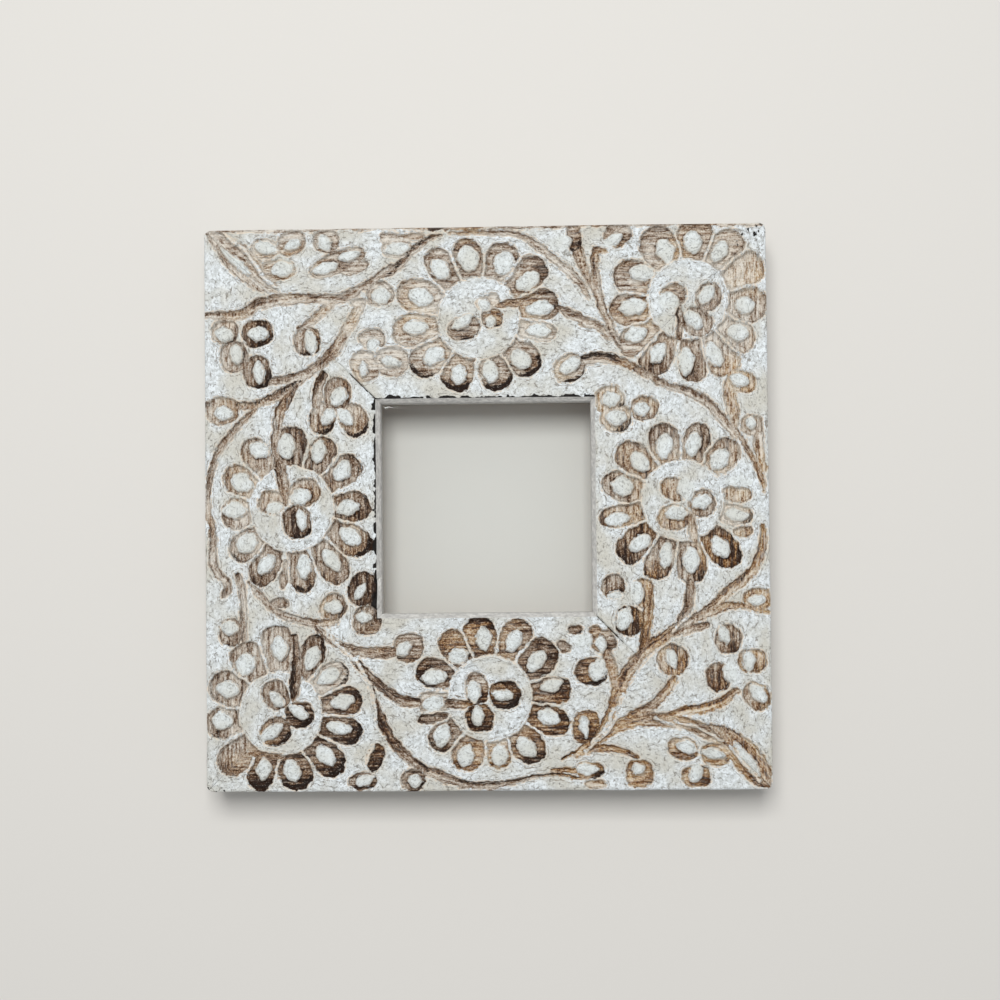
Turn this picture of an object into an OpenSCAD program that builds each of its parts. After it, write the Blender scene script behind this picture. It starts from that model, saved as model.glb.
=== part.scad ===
// Carved wooden picture frame, lying on its back with the carved face up.
// Four mitred rails, V-nails across the mitres, a glass pane in the rebate,
// turn buttons and their screws, a sawtooth hanger and four felt bumpers.
// +X is the picture's right, +Y its top, +Z out of the carved face.

/* [Frame] */
// Outside size of the square frame
outer_size = 170; // [160:1:200]
// Clear size of the square opening that shows the picture
sight_size = 63.5; // [56:0.5:72]
// Thickness of the wood
wood_t = 18; // [16:0.5:24]
// Thickness of wood left in front of the glass
lip_t = 7; // [5:0.5:8]
// Width of the lip that laps over the edge of the glass
lip_lap = 6.25; // [4:0.25:7]
// Width, seen from the front, of the bevel round the opening
bevel_w = 1.3; // [1:0.1:2.4]
// Depth of that bevel
bevel_h = 1.8; // [1:0.1:3]
// Radius worn on the upright corners
corner_r = 2.2; // [1.5:0.1:4]
// Radius worn on the outer front edge
edge_r = 0.9; // [0.5:0.1:1.4]

/* [Carving] */
// Depth of the hollows that are cut for petals and buds
petal_depth = 1.5; // [0.8:0.1:2]
// Half width of a petal's hollow at the face
petal_r = 4.4; // [3:0.1:4.5]
// Distance of the petals from the flower's centre
petal_ring = 18.2; // [17:0.1:19]
// Number of petals round a flower
petal_count = 12; // [8:1:12]
// Half width of a bud's hollow at the face
bud_r = 4.2; // [3:0.1:4.4]
// Radius of the seed left standing in each petal and bud
seed_r = 2.6; // [1.6:0.1:2.8]
// Radius of the raised disc in a flower
disc_r = 12; // [10:0.1:12.4]
// Half width of the groove round a disc
groove_r = 1.1; // [0.6:0.1:1.3]
// Half width of a stem's groove
stem_r = 1.2; // [0.8:0.1:1.4]

/* [Glass] */
// Thickness of the pane
pane_t = 2; // [1.5:0.1:3]
// Gap round the pane in its rebate
pane_gap = 0.75; // [0.3:0.05:1.5]

/* [Turn buttons] */
// Width of a button at its pivot
button_w = 9; // [7:0.5:11]
// How far a button laps over the backing when it is shut
button_lap = 5.5; // [4:0.5:6.5]
// Thickness of the pressed steel
button_t = 0.9; // [0.6:0.1:1]
// Wood between the rebate and a button that is turned aside
button_set_back = 1.5; // [0.5:0.1:3]
// Slack under and over a button
button_slack = 0.06; // [0.02:0.01:0.1]
// Diameter of the screw's neck, which the button turns on
screw_neck_d = 3; // [2.5:0.1:3.5]
// Radial clearance between the neck and the button
pivot_gap = 0.07; // [0.02:0.01:0.1]
// Diameter of the screw's pan head
screw_head_d = 5.8; // [5:0.1:6.5]
// Height of the screw's pan head
screw_head_h = 1.4; // [1:0.1:1.6]
// Length of the screw in the wood
screw_bite = 8; // [6:0.5:11]

/* [Hanger] */
// Length of the sawtooth strip
hanger_len = 44; // [38:1:60]
// Width of the strip
hanger_w = 9; // [7:0.5:11]
// Thickness of the strip
hanger_t = 0.8; // [0.5:0.1:1]
// Gap between the raised part of the strip and the wood
hanger_rise = 1.3; // [0.8:0.1:1.6]
// Distance from the outer edge of the frame to the middle of the strip
hanger_inset = 13; // [11:0.5:18]
// Distance from one tooth to the next
tooth_pitch = 2.6; // [2:0.1:4]
// Depth of the notches between the teeth
tooth_depth = 1.7; // [1:0.1:2.2]
// Diameter of the hanger's nails
nail_d = 1.5; // [1.2:0.1:2]
// Length of the hanger's nails in the wood
nail_bite = 9; // [6:0.5:12]

/* [V-nails] */
// Length of each leg of a V-nail
vnail_leg = 5; // [3:0.5:7]
// Thickness of the V-nail's steel
vnail_t = 0.6; // [0.4:0.1:0.8]
// Height of a V-nail
vnail_h = 8; // [5:0.5:10]

/* [Bumpers] */
// Diameter of a felt bumper
bumper_d = 10; // [8:0.5:13]
// Thickness of a felt bumper, which the frame stands on
bumper_h = 3; // [2.8:0.1:4]
// Distance from the frame's edges to a bumper's centre
bumper_inset = 9; // [8:0.5:14]

/* [Hidden] */
$fn = 48;
eps = 0.01;                                   // overcut, so that cuts run clear of a face
half = outer_size / 2;
sight = sight_size / 2;
face_edge = sight + bevel_w;                  // where the carved face meets the bevel
pane = sight + lip_lap;                       // half the pane's size
rebate = pane + pane_gap;                     // half the rebate's size
rail_mid = (half + face_edge) / 2;            // middle of a rail, from the frame's centre
back_z = bumper_h;
top_z = back_z + wood_t;
lip_z = top_z - lip_t;                        // the ledge that the glass is bedded against
pivot_y = rebate + button_set_back + button_w / 2;
button_tip_w = button_w - 2;
button_arm = pivot_y - rebate + button_lap - button_tip_w / 2;
button_z = back_z - button_slack - button_t;
screw_neck_in = 1.5;                          // how far the plain neck runs into the wood
screw_core_d = screw_neck_d - 0.6;
screw_tip = 2;                                // length of the screw's point
foot_len = 8;                                 // length of the hanger's flat feet
ramp_len = 2;                                 // run of the slope from foot to bridge
nail_head_d = nail_d * 2.6;
nail_head_h = nail_d * 0.45;
nail_slack = 0.1;                             // radial room for a nail in the hanger's hole
wood_colour = "burlywood";
paint_colour = "ivory";
steel_colour = "silver";

// A rail's name, and the turn that brings it from the top of the frame to its place
function turn_of(side) = side == "top" ? 0 : side == "left" ? 90 : side == "bottom" ? 180 : 270;

// Each flower: its place along and across its rail, from the middle, the turn of its rail,
// and the turns of its petals and of the three hollows in its disc
flowers = [
    [-1.8, -1.8, 0, 10, -30],
    [0.2, -0.4, 90, 1, -42],
    [-0.6, -1.8, 180, 8, -48],
    [-1.6, 0, 270, 14, -30]
];
// The two flowers that cross a mitre: the corner they stand in, and the same two turns
corner_flowers = [[1, 1, -2, 34], [-1, -1, 9, -5]];
corner_inset = 23.4;
// The buds between the flowers and the stems that join them, from the frame's centre, on a frame of drawn_size.
// A stem is an arc through three points.
drawn_size = 170;
buds = [
    [-67, 79.2], [-58, 79.6], [-48, 79.8], [-62.5, 71], [-75.5, 76.5], [-46.5, 71], [-38, 74.5],
    [-26.5, 78.8], [-31.5, 65], [-33.9, 51.3], [-37, 42.6], [-28, 44], [-53.6, 50.8],
    [-78.2, 54.9], [-68.8, 53.4], [-76.5, 45.6], [-67.6, 42.6], [-44.8, 35], [-49.6, 26.8],
    [-39.9, 26.4], [-79.5, 30],
    [-37.8, -24.2], [-46.6, -29.2], [-38, -34.5], [-77.6, -36.4], [-37.4, -79.4], [-24.2, -80], [-24.4, -42],
    [34.7, -40.5], [31, -49.4], [28.6, -65.6], [30.5, -78.9], [45.2, -79.6], [57.6, -72.2], [68.2, -73.2],
    [62.6, -79.8], [77.2, -75.4], [55.5, -46.1],
    [38, -24], [46.9, -26.2], [42.4, -34.2], [72.2, -40.2], [79.3, -47], [69.4, -51], [79.6, -57], [79.7, -28.4],
    [25.5, 41.8], [27, 79.4], [40.3, 79.6], [77, 37.4], [37.9, 34.2], [39.4, 25.4], [48, 29.6], [79.7, 25.4]
];
stems = [
    [[-83, 59], [-66, 62.4], [-44.5, 63.4]],
    [[-42.2, 64.1], [-36.5, 67.2], [-31.4, 70.4]],
    [[-29.4, 71.7], [-21.5, 77.8], [-11.5, 82.1]],
    [[-9.1, 82.3], [11, 81.2], [30.5, 64.5]],
    [[-72, 73], [-67.6, 69.8], [-63.5, 66.2]],
    [[-46, 62.5], [-51, 58.5], [-55.8, 54.9]],
    [[-42, 53.5], [-51.5, 43], [-66, 38.6]],
    [[-75.2, 31.4], [-66, 33], [-56, 39]],
    [[-49.6, 41.8], [-50.7, 36.5], [-50.7, 31.4]],
    [[-57, 38], [-62.2, 29], [-62.6, 20.5]],
    [[-69.7, 30.5], [-81.6, 8], [-78.6, -23]],
    [[-74.7, -20], [-73.4, -29], [-73.3, -38]],
    [[-72.8, -21.6], [-62.5, -31.2], [-46, -34.2]],
    [[-52.5, -34.5], [-43.5, -41.2], [-29, -43.3]],
    [[-41, -44.5], [-33.5, -52.2], [-22.3, -58.3]],
    [[-34.2, -54], [-31, -64], [-18.2, -79]],
    [[-16.5, -80], [0, -82.5], [24, -80.3]],
    [[26.5, -74], [41.5, -64], [55.2, -52.4]],
    [[45.5, -64.7], [58, -64.9], [71.6, -70.5]],
    [[56, -61.2], [65.5, -60.3], [73, -56.6]],
    [[31.2, -71.4], [41, -51.8], [56, -37.3]],
    [[59.4, -35.2], [67.5, -31.6], [75.4, -30.2]],
    [[61, -20.5], [60.6, -28], [57.8, -35.6]],
    [[48.9, -30], [48, -36.5], [46.2, -43.3]],
    [[82.2, -8], [77.5, -21], [67.5, -29.8]],
    [[29.6, 44.1], [45, 41.6], [60.2, 34.6]],
    [[62.4, 33.6], [73, 24], [82.3, 8]],
    [[34.5, 77], [33.5, 67], [41, 48]],
    [[23, 60], [31.5, 55.3], [38, 50.3]]
];
wall_run = 0.8;                               // how far the wall of a hollow slopes in

// A place on the frame as the rail that is turned by side_turn sees it
function turned(p, side_turn) = outer_size / drawn_size
    * [p[0] * cos(side_turn) + p[1] * sin(side_turn), p[1] * cos(side_turn) - p[0] * sin(side_turn)];
// Whether what is cut at q, and reaches that far, touches the top rail
function on_rail(q, reach) = q[1] > abs(q[0]) - 1.5 * reach;
// The centre of the circle through three points
function arc_centre(a, b, c) = let (u = b - a, v = c - a)
    a + [v[1] * (u * u) - u[1] * (v * v), u[0] * (v * v) - v[0] * (u * u)] / (2 * (u[0] * v[1] - u[1] * v[0]));
function heading(p, m) = atan2(p[1] - m[1], p[0] - m[0]);

// A solid that fills a square with worn corners, from z0 up
module worn_square(half_size, r, z0, h) {
    translate([0, 0, z0]) {
        for (w = [[half_size, half_size - r], [half_size - r, half_size]])
            translate([-w[0], -w[1], 0]) cube([2 * w[0], 2 * w[1], h]);
        for (x = [-1, 1], y = [-1, 1])
            translate([x * (half_size - r), y * (half_size - r), 0]) cylinder(r = r, h = h);
    }
}

// Section of a rail: distance from the frame's centre, and height
module rail_section() {
    edge = [for (i = [0 : 6]) [half - edge_r + edge_r * sin(15 * i), top_z - edge_r + edge_r * cos(15 * i)]];
    polygon(concat(
        [[sight, lip_z], [sight, top_z - bevel_h], [face_edge, top_z]],
        edge,
        [[half, back_z], [rebate, back_z], [rebate, lip_z]]
    ));
}

// The wedge of the frame between two mitres, at the top
module mitre_wedge() {
    linear_extrude(top_z + 1) polygon([[0, 0], [half + 1, half + 1], [-half - 1, half + 1]]);
}

// A hollow cut into the face, with a flat floor and a sloping wall: a = half width at the face, d = depth
module hollow(a, d) {
    over = 0.1;
    translate([0, 0, top_z - d]) cylinder(r1 = a - wall_run, r2 = a + wall_run * over / d, h = d + over, $fn = 24);
}

// A hollow with a seed left standing in it, as what is cut away
module seeded_hollow(a, d, seed) {
    difference() {
        hollow(a, d);
        translate([0, 0, top_z - seed - 5 * eps]) sphere(r = seed, $fn = 16);
    }
}

// A groove along part of a circle about the origin, with a flat floor and sloping walls, as deep as half its width
module ring_groove(ring, r, sweep) {
    over = 0.1;
    rotate_extrude(angle = sweep, $fn = 60)
        polygon([
            [ring - r * 0.5, top_z - r], [ring + r * 0.5, top_z - r],
            [ring + r + over / 2, top_z + over], [ring - r - over / 2, top_z + over]
        ]);
}

// The mark that the gouge leaves where a stem begins or ends, wide and deep enough to take in the groove's end
module stem_end(p) {
    over = 0.1;
    translate([p[0], p[1], top_z - stem_r * 1.08])
        cylinder(r1 = stem_r * 0.9, r2 = stem_r * 1.45, h = stem_r * 1.08 + over, $fn = 16);
}

// What is cut away for a stem that bends from a through b to c
module stem(a, b, c) {
    m = arc_centre(a, b, c);
    left_turn = (heading(b, m) - heading(a, m) + 720) % 360 < 180;
    from = left_turn ? heading(a, m) : heading(c, m);
    to = left_turn ? heading(c, m) : heading(a, m);
    translate([m[0], m[1], 0]) rotate([0, 0, from]) ring_groove(norm(a - m), stem_r, (to - from + 720) % 360);
    stem_end(a);
    stem_end(c);
}

// What is cut away for a flower: petals, the groove round its disc, and three small hollows in it
module flower_cut(petals_turn, middle_turn) {
    for (i = [0 : petal_count - 1])
        rotate([0, 0, 360 * i / petal_count + petals_turn])
            translate([petal_ring, 0, 0]) seeded_hollow(petal_r, petal_depth, seed_r);
    ring_groove(disc_r + groove_r, groove_r, 360);
    for (i = [0 : 2])
        rotate([0, 0, 120 * i + middle_turn])
            translate([disc_r * 0.46, 0, 0]) seeded_hollow(disc_r * 0.31, petal_depth, seed_r * 0.8);
}

// What is cut out of the face of the rail that lies a turn away from the top one, as seen from the top
module carving(side_turn) {
    for (f = flowers)
        if (f[2] == side_turn) translate([f[0], rail_mid + f[1], 0]) flower_cut(f[3], f[4]);
    for (c = corner_flowers)
        rotate([0, 0, -side_turn])
            translate([c[0] * (half - corner_inset), c[1] * (half - corner_inset), 0])
                if (side_turn == 0 || side_turn == 270 ? c[0] > 0 : c[0] < 0) flower_cut(c[2], c[3]);
    for (p = buds) {
        q = turned(p, side_turn);
        if (on_rail(q, bud_r)) translate([q[0], q[1], 0]) seeded_hollow(bud_r, petal_depth, seed_r);
    }
    for (s = stems) {
        q = [for (p = s) turned(p, side_turn)];
        if (on_rail(q[0], 2 * stem_r) || on_rail(q[1], 2 * stem_r) || on_rail(q[2], 2 * stem_r))
            stem(q[0], q[1], q[2]);
    }
}

// A V-nail's two legs, as seen from the back of the frame, with its corner on the mitre
module vnail() {
    translate([-vnail_t / 2, -vnail_t / 2, back_z]) {
        cube([vnail_leg, vnail_t, vnail_h]);
        cube([vnail_t, vnail_leg, vnail_h]);
    }
}

// The two V-nails of one mitre, for the corner at the top right
module vnail_pair() {
    span = half - rebate;
    for (share = [0.3, 0.66])
        translate([rebate + span * share, rebate + span * share, 0]) vnail();
}

// A pan-head wood screw, head down, point up, on the pivot of the top button
module button_screw_solid() {
    head_z = button_z - button_slack;
    neck_top = back_z + screw_neck_in;
    core_top = back_z + screw_bite - screw_tip;
    difference() {
        union() {
            translate([0, 0, head_z - screw_head_h * 0.45]) cylinder(d = screw_head_d, h = screw_head_h * 0.45);
            translate([0, 0, head_z - screw_head_h])
                cylinder(d1 = screw_head_d * 0.66, d2 = screw_head_d, h = screw_head_h * 0.55);
        }
        for (a = [0, 90])
            rotate([0, 0, a + 20])
                translate([-screw_head_d * 0.28, -0.35, head_z - screw_head_h - eps])
                    cube([screw_head_d * 0.56, 0.7, screw_head_h * 0.5]);
    }
    translate([0, 0, head_z - eps]) cylinder(d = screw_neck_d, h = neck_top - head_z + eps);
    translate([0, 0, neck_top - eps]) cylinder(d = screw_core_d, h = core_top - neck_top + eps);
    translate([0, 0, core_top - eps]) cylinder(d1 = screw_core_d, d2 = 0.4, h = screw_tip + eps);
}

// A hanger nail, head down
module hanger_nail_solid() {
    translate([0, 0, back_z - hanger_t - nail_head_h]) cylinder(d = nail_head_d, h = nail_head_h);
    translate([0, 0, back_z - hanger_t - eps]) cylinder(d = nail_d, h = hanger_t + nail_bite + eps);
}

module at_hanger_nails() {
    for (x = [-1, 1])
        translate([x * (hanger_len / 2 - foot_len / 2), half - hanger_inset, 0]) children();
}

module at_pivot() {
    translate([0, pivot_y, 0]) children();
}

// A rail as if it were the top one, with the seats for what is driven into its back
module rail(side) {
    side_turn = turn_of(side);
    rotate([0, 0, side_turn]) difference() {
        intersection() {
            translate([-half, 0, 0]) rotate([90, 0, 90]) linear_extrude(outer_size) rail_section();
            mitre_wedge();
            worn_square(half, corner_r, back_z - 1, wood_t + 2);
        }
        carving(side_turn);
        vnail_pair();
        mirror([1, 0, 0]) vnail_pair();
        at_pivot() button_screw_solid();
        if (side == "top") at_hanger_nails() hanger_nail_solid();
    }
}

// A turn button, turned aside so that it lies along the rail
module turn_button() {
    at_pivot() translate([0, 0, button_z]) difference() {
        union() {
            cylinder(d = button_w, h = button_t);
            translate([0, -button_tip_w / 2, 0]) cube([button_arm, button_tip_w, button_t]);
            translate([button_arm, 0, 0]) cylinder(d = button_tip_w, h = button_t);
        }
        translate([0, 0, -1]) cylinder(d = screw_neck_d + 2 * pivot_gap, h = button_t + 2);
    }
}

// A strip with flat feet and a raised bridge, and teeth along the edge that faces the opening
module hanger() {
    l = hanger_len / 2;
    strip = [
        [-l, 0], [-l + foot_len, 0], [-l + foot_len + ramp_len, -hanger_rise],
        [l - foot_len - ramp_len, -hanger_rise], [l - foot_len, 0], [l, 0]
    ];
    under = [for (i = [len(strip) - 1 : -1 : 0]) strip[i] - [0, hanger_t]];
    toothed = hanger_len - 2 * foot_len - 2 * ramp_len - 1;
    teeth = floor(toothed / tooth_pitch);
    difference() {
        translate([0, half - hanger_inset + hanger_w / 2, back_z])
            rotate([90, 0, 0]) linear_extrude(hanger_w) polygon(concat(strip, under));
        translate([-teeth * tooth_pitch / 2, half - hanger_inset - hanger_w / 2 - eps, 0])
            for (i = [0 : teeth - 1])
                translate([(i + 0.5) * tooth_pitch, 0, back_z - hanger_rise - hanger_t - 1])
                    linear_extrude(hanger_t + 2)
                        polygon([[-tooth_pitch / 2 + 0.3, 0], [0, tooth_depth], [tooth_pitch / 2 - 0.3, 0]]);
        at_hanger_nails()
            translate([0, 0, back_z - hanger_t - 1]) cylinder(d = nail_d + 2 * nail_slack, h = hanger_t + 2);
    }
}

module top_rail() { color(paint_colour) rail("top"); }
module bottom_rail() { color(paint_colour) rail("bottom"); }
module left_rail() { color(paint_colour) rail("left"); }
module right_rail() { color(paint_colour) rail("right"); }

module vnails(corner_turn) { color("dimgray") rotate([0, 0, corner_turn]) vnail_pair(); }

module glass_pane() {
    color("lightblue", 0.4) translate([-pane, -pane, lip_z - pane_t]) cube([2 * pane, 2 * pane, pane_t]);
}

module button_on(side) { color("goldenrod") rotate([0, 0, turn_of(side)]) turn_button(); }
module screw_on(side) { color(steel_colour) rotate([0, 0, turn_of(side)]) at_pivot() button_screw_solid(); }

module sawtooth_hanger() { color(steel_colour) hanger(); }
module hanger_nails() { color("gray") at_hanger_nails() hanger_nail_solid(); }

// Four felt discs with a softened lower edge
module felt_bumpers() {
    soft = 0.6;
    color("saddlebrown") for (x = [-1, 1], y = [-1, 1])
        translate([x * (half - bumper_inset), y * (half - bumper_inset), 0]) rotate_extrude()
            polygon([
                [0, 0], [bumper_d / 2 - soft, 0], [bumper_d / 2, soft], [bumper_d / 2, bumper_h], [0, bumper_h]
            ]);
}

top_rail();
bottom_rail();
left_rail();
right_rail();
vnails(90);  // vnails_top_left
vnails(0);  // vnails_top_right
vnails(180);  // vnails_bottom_left
vnails(270);  // vnails_bottom_right
glass_pane();
button_on("top");  // turn_button_top
button_on("bottom");  // turn_button_bottom
button_on("left");  // turn_button_left
button_on("right");  // turn_button_right
screw_on("top");  // button_screw_top
screw_on("bottom");  // button_screw_bottom
screw_on("left");  // button_screw_left
screw_on("right");  // button_screw_right
sawtooth_hanger();
hanger_nails();
felt_bumpers();
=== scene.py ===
"""A carved and whitewashed wooden picture frame, lying on its back on a pale table.

Lengths are millimetres where a name or comment says mm, and metres in meshes and objects.
+X is the picture's right, +Y its top, and +Z comes out of the carved face.
"""
import math

import bmesh
import bpy
import numpy as np
from mathutils import Matrix, Vector


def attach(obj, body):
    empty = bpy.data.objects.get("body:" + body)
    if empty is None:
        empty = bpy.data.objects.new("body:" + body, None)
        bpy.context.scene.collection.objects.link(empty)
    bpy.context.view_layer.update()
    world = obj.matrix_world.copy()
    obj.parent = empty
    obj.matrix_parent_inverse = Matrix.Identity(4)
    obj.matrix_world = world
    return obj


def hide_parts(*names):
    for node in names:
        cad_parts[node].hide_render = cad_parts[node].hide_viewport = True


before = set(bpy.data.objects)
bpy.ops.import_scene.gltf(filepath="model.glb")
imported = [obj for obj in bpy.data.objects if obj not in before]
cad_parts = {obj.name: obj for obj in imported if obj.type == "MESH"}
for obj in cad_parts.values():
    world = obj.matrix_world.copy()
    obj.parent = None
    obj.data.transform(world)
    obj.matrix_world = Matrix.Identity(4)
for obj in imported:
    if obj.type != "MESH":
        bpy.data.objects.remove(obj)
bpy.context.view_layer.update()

MM = 0.001                          # m


# ---------------------------------------------------------------- the table and the light
# A pale matt painted table top, on which the frame lies on its four felt bumpers. One large soft lamp lights it
# from the top of the picture, and a bright even room from all round.


def linear(hex_colour):
    """sRGB hex to linear: c / 12.92 below 0.04045, else ((c + 0.055) / 1.055) ** 2.4."""
    c = np.array([int(hex_colour[i:i + 2], 16) / 255 for i in (1, 3, 5)])
    lin = np.where(c <= 0.04045, c / 12.92, ((c + 0.055) / 1.055) ** 2.4)
    return (*lin.tolist(), 1.0)


def add(tree, kind, inputs=(), **settings):
    """Adds a shader node and returns its output in use.

    inputs maps a socket's name or number to a value, or to the socket that feeds it; settings are the node's own.
    """
    node = tree.nodes.new("ShaderNode" + kind)
    for key, value in settings.items():
        setattr(node, key, value)
    for key, value in dict(inputs).items():
        if isinstance(value, bpy.types.NodeSocket):
            tree.links.new(value, node.inputs[key])
        else:
            node.inputs[key].default_value = value
    return next(socket for socket in node.outputs if socket.enabled)


def new_material(name):
    """An empty node material, its tree and its output node."""
    material = bpy.data.materials.new(name)
    material.use_nodes = True
    material.node_tree.nodes.clear()
    return material, material.node_tree, material.node_tree.nodes.new("ShaderNodeOutputMaterial")


TABLE_HALF, TABLE_Z = 3.0, -0.0001    # m; the bumpers lie just clear of it
TABLE_COLOUR = "#D9D6D0"
ROOM_COLOUR, ROOM_STRENGTH = "#F1F3F6", 0.45
WINDOW_PLACE, WINDOW_SIZE, WINDOW_POWER = Vector((-0.04, 0.32, 1.0)), 0.4, 8.3    # m, m and W

table_mesh = bpy.data.meshes.new("table_top")
table_mesh.from_pydata([(x * TABLE_HALF, y * TABLE_HALF, TABLE_Z)
                        for x, y in ((-1, -1), (1, -1), (1, 1), (-1, 1))], [], [(0, 1, 2, 3)])
table = bpy.data.objects.new("table_top", table_mesh)
bpy.context.collection.objects.link(table)
table_paint, tree, out = new_material("pale_table")
tree.links.new(add(tree, "BsdfPrincipled", {"Base Color": linear(TABLE_COLOUR), "Roughness": 0.8}), out.inputs[0])
table_mesh.materials.append(table_paint)

world = bpy.data.worlds.new("bright_room")
bpy.context.scene.world = world
world.use_nodes = True
background = world.node_tree.nodes["Background"].inputs
background["Color"].default_value = linear(ROOM_COLOUR)
background["Strength"].default_value = ROOM_STRENGTH

lamp = bpy.data.lights.new("window_light", "AREA")
lamp.size, lamp.energy = WINDOW_SIZE, WINDOW_POWER
window = bpy.data.objects.new("window_light", lamp)
window.location = WINDOW_PLACE
window.rotation_euler = (-WINDOW_PLACE).to_track_quat("-Z", "Y").to_euler()
bpy.context.collection.objects.link(window)

# ---------------------------------------------------------------- the camera
# A phone held over the table, a little to the right of the frame and below it, and turned slightly. Its place and
# lens give the photo's outline of the frame and of its opening.
LENS_MM = 60.06                     # on a 36 mm wide sensor
CAMERA_PLACE = Vector((0.0178, -0.0106, 0.5219))
CAMERA_AIM = Vector((0.00366, 0.00274, 0.0))
CAMERA_UP = Vector((0.0101, 0.9996, 0.0253))

camera_data = bpy.data.cameras.new("camera")
camera_data.lens = LENS_MM
camera_data.clip_start, camera_data.clip_end = 0.01, 20    # m
camera = bpy.data.objects.new("camera", camera_data)
bpy.context.collection.objects.link(camera)
back = (CAMERA_PLACE - CAMERA_AIM).normalized()
right = CAMERA_UP.cross(back).normalized()
camera.matrix_world = Matrix((right, back.cross(right), back)).transposed().to_4x4()
camera.location = CAMERA_PLACE
bpy.context.scene.camera = camera
bpy.context.scene.view_settings.view_transform = "Standard"

# ---------------------------------------------------------------- the carved rails
# Four rails of mango wood, mitred at the corners. The flowers and stems are cut into the face by hand with
# gouges, stained brown, and then brushed over with white paint, which stays on the high parts.
FRAME_HALF = 85.0                   # mm
FACE_EDGE = 33.05                   # mm, where the carved face meets the bevel round the opening
SIGHT = 31.75                       # mm, half the clear opening
REBATE = 38.75                      # mm, half the rebate behind it
BACK_Z, LEDGE_Z, TOP_Z = 3.0, 14.0, 21.0
FLUSH = 0.02                        # mm, the V-nails stand this proud of the back
BEVEL_H = 1.8                       # mm, how far the bevel drops from the face
CORNER_R, EDGE_R = 2.2, 0.9         # mm, how far the corners and the outer edge are worn round
SIDES = (("top", 0), ("left", 90), ("bottom", 180), ("right", 270))    # degrees from the top rail

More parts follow.
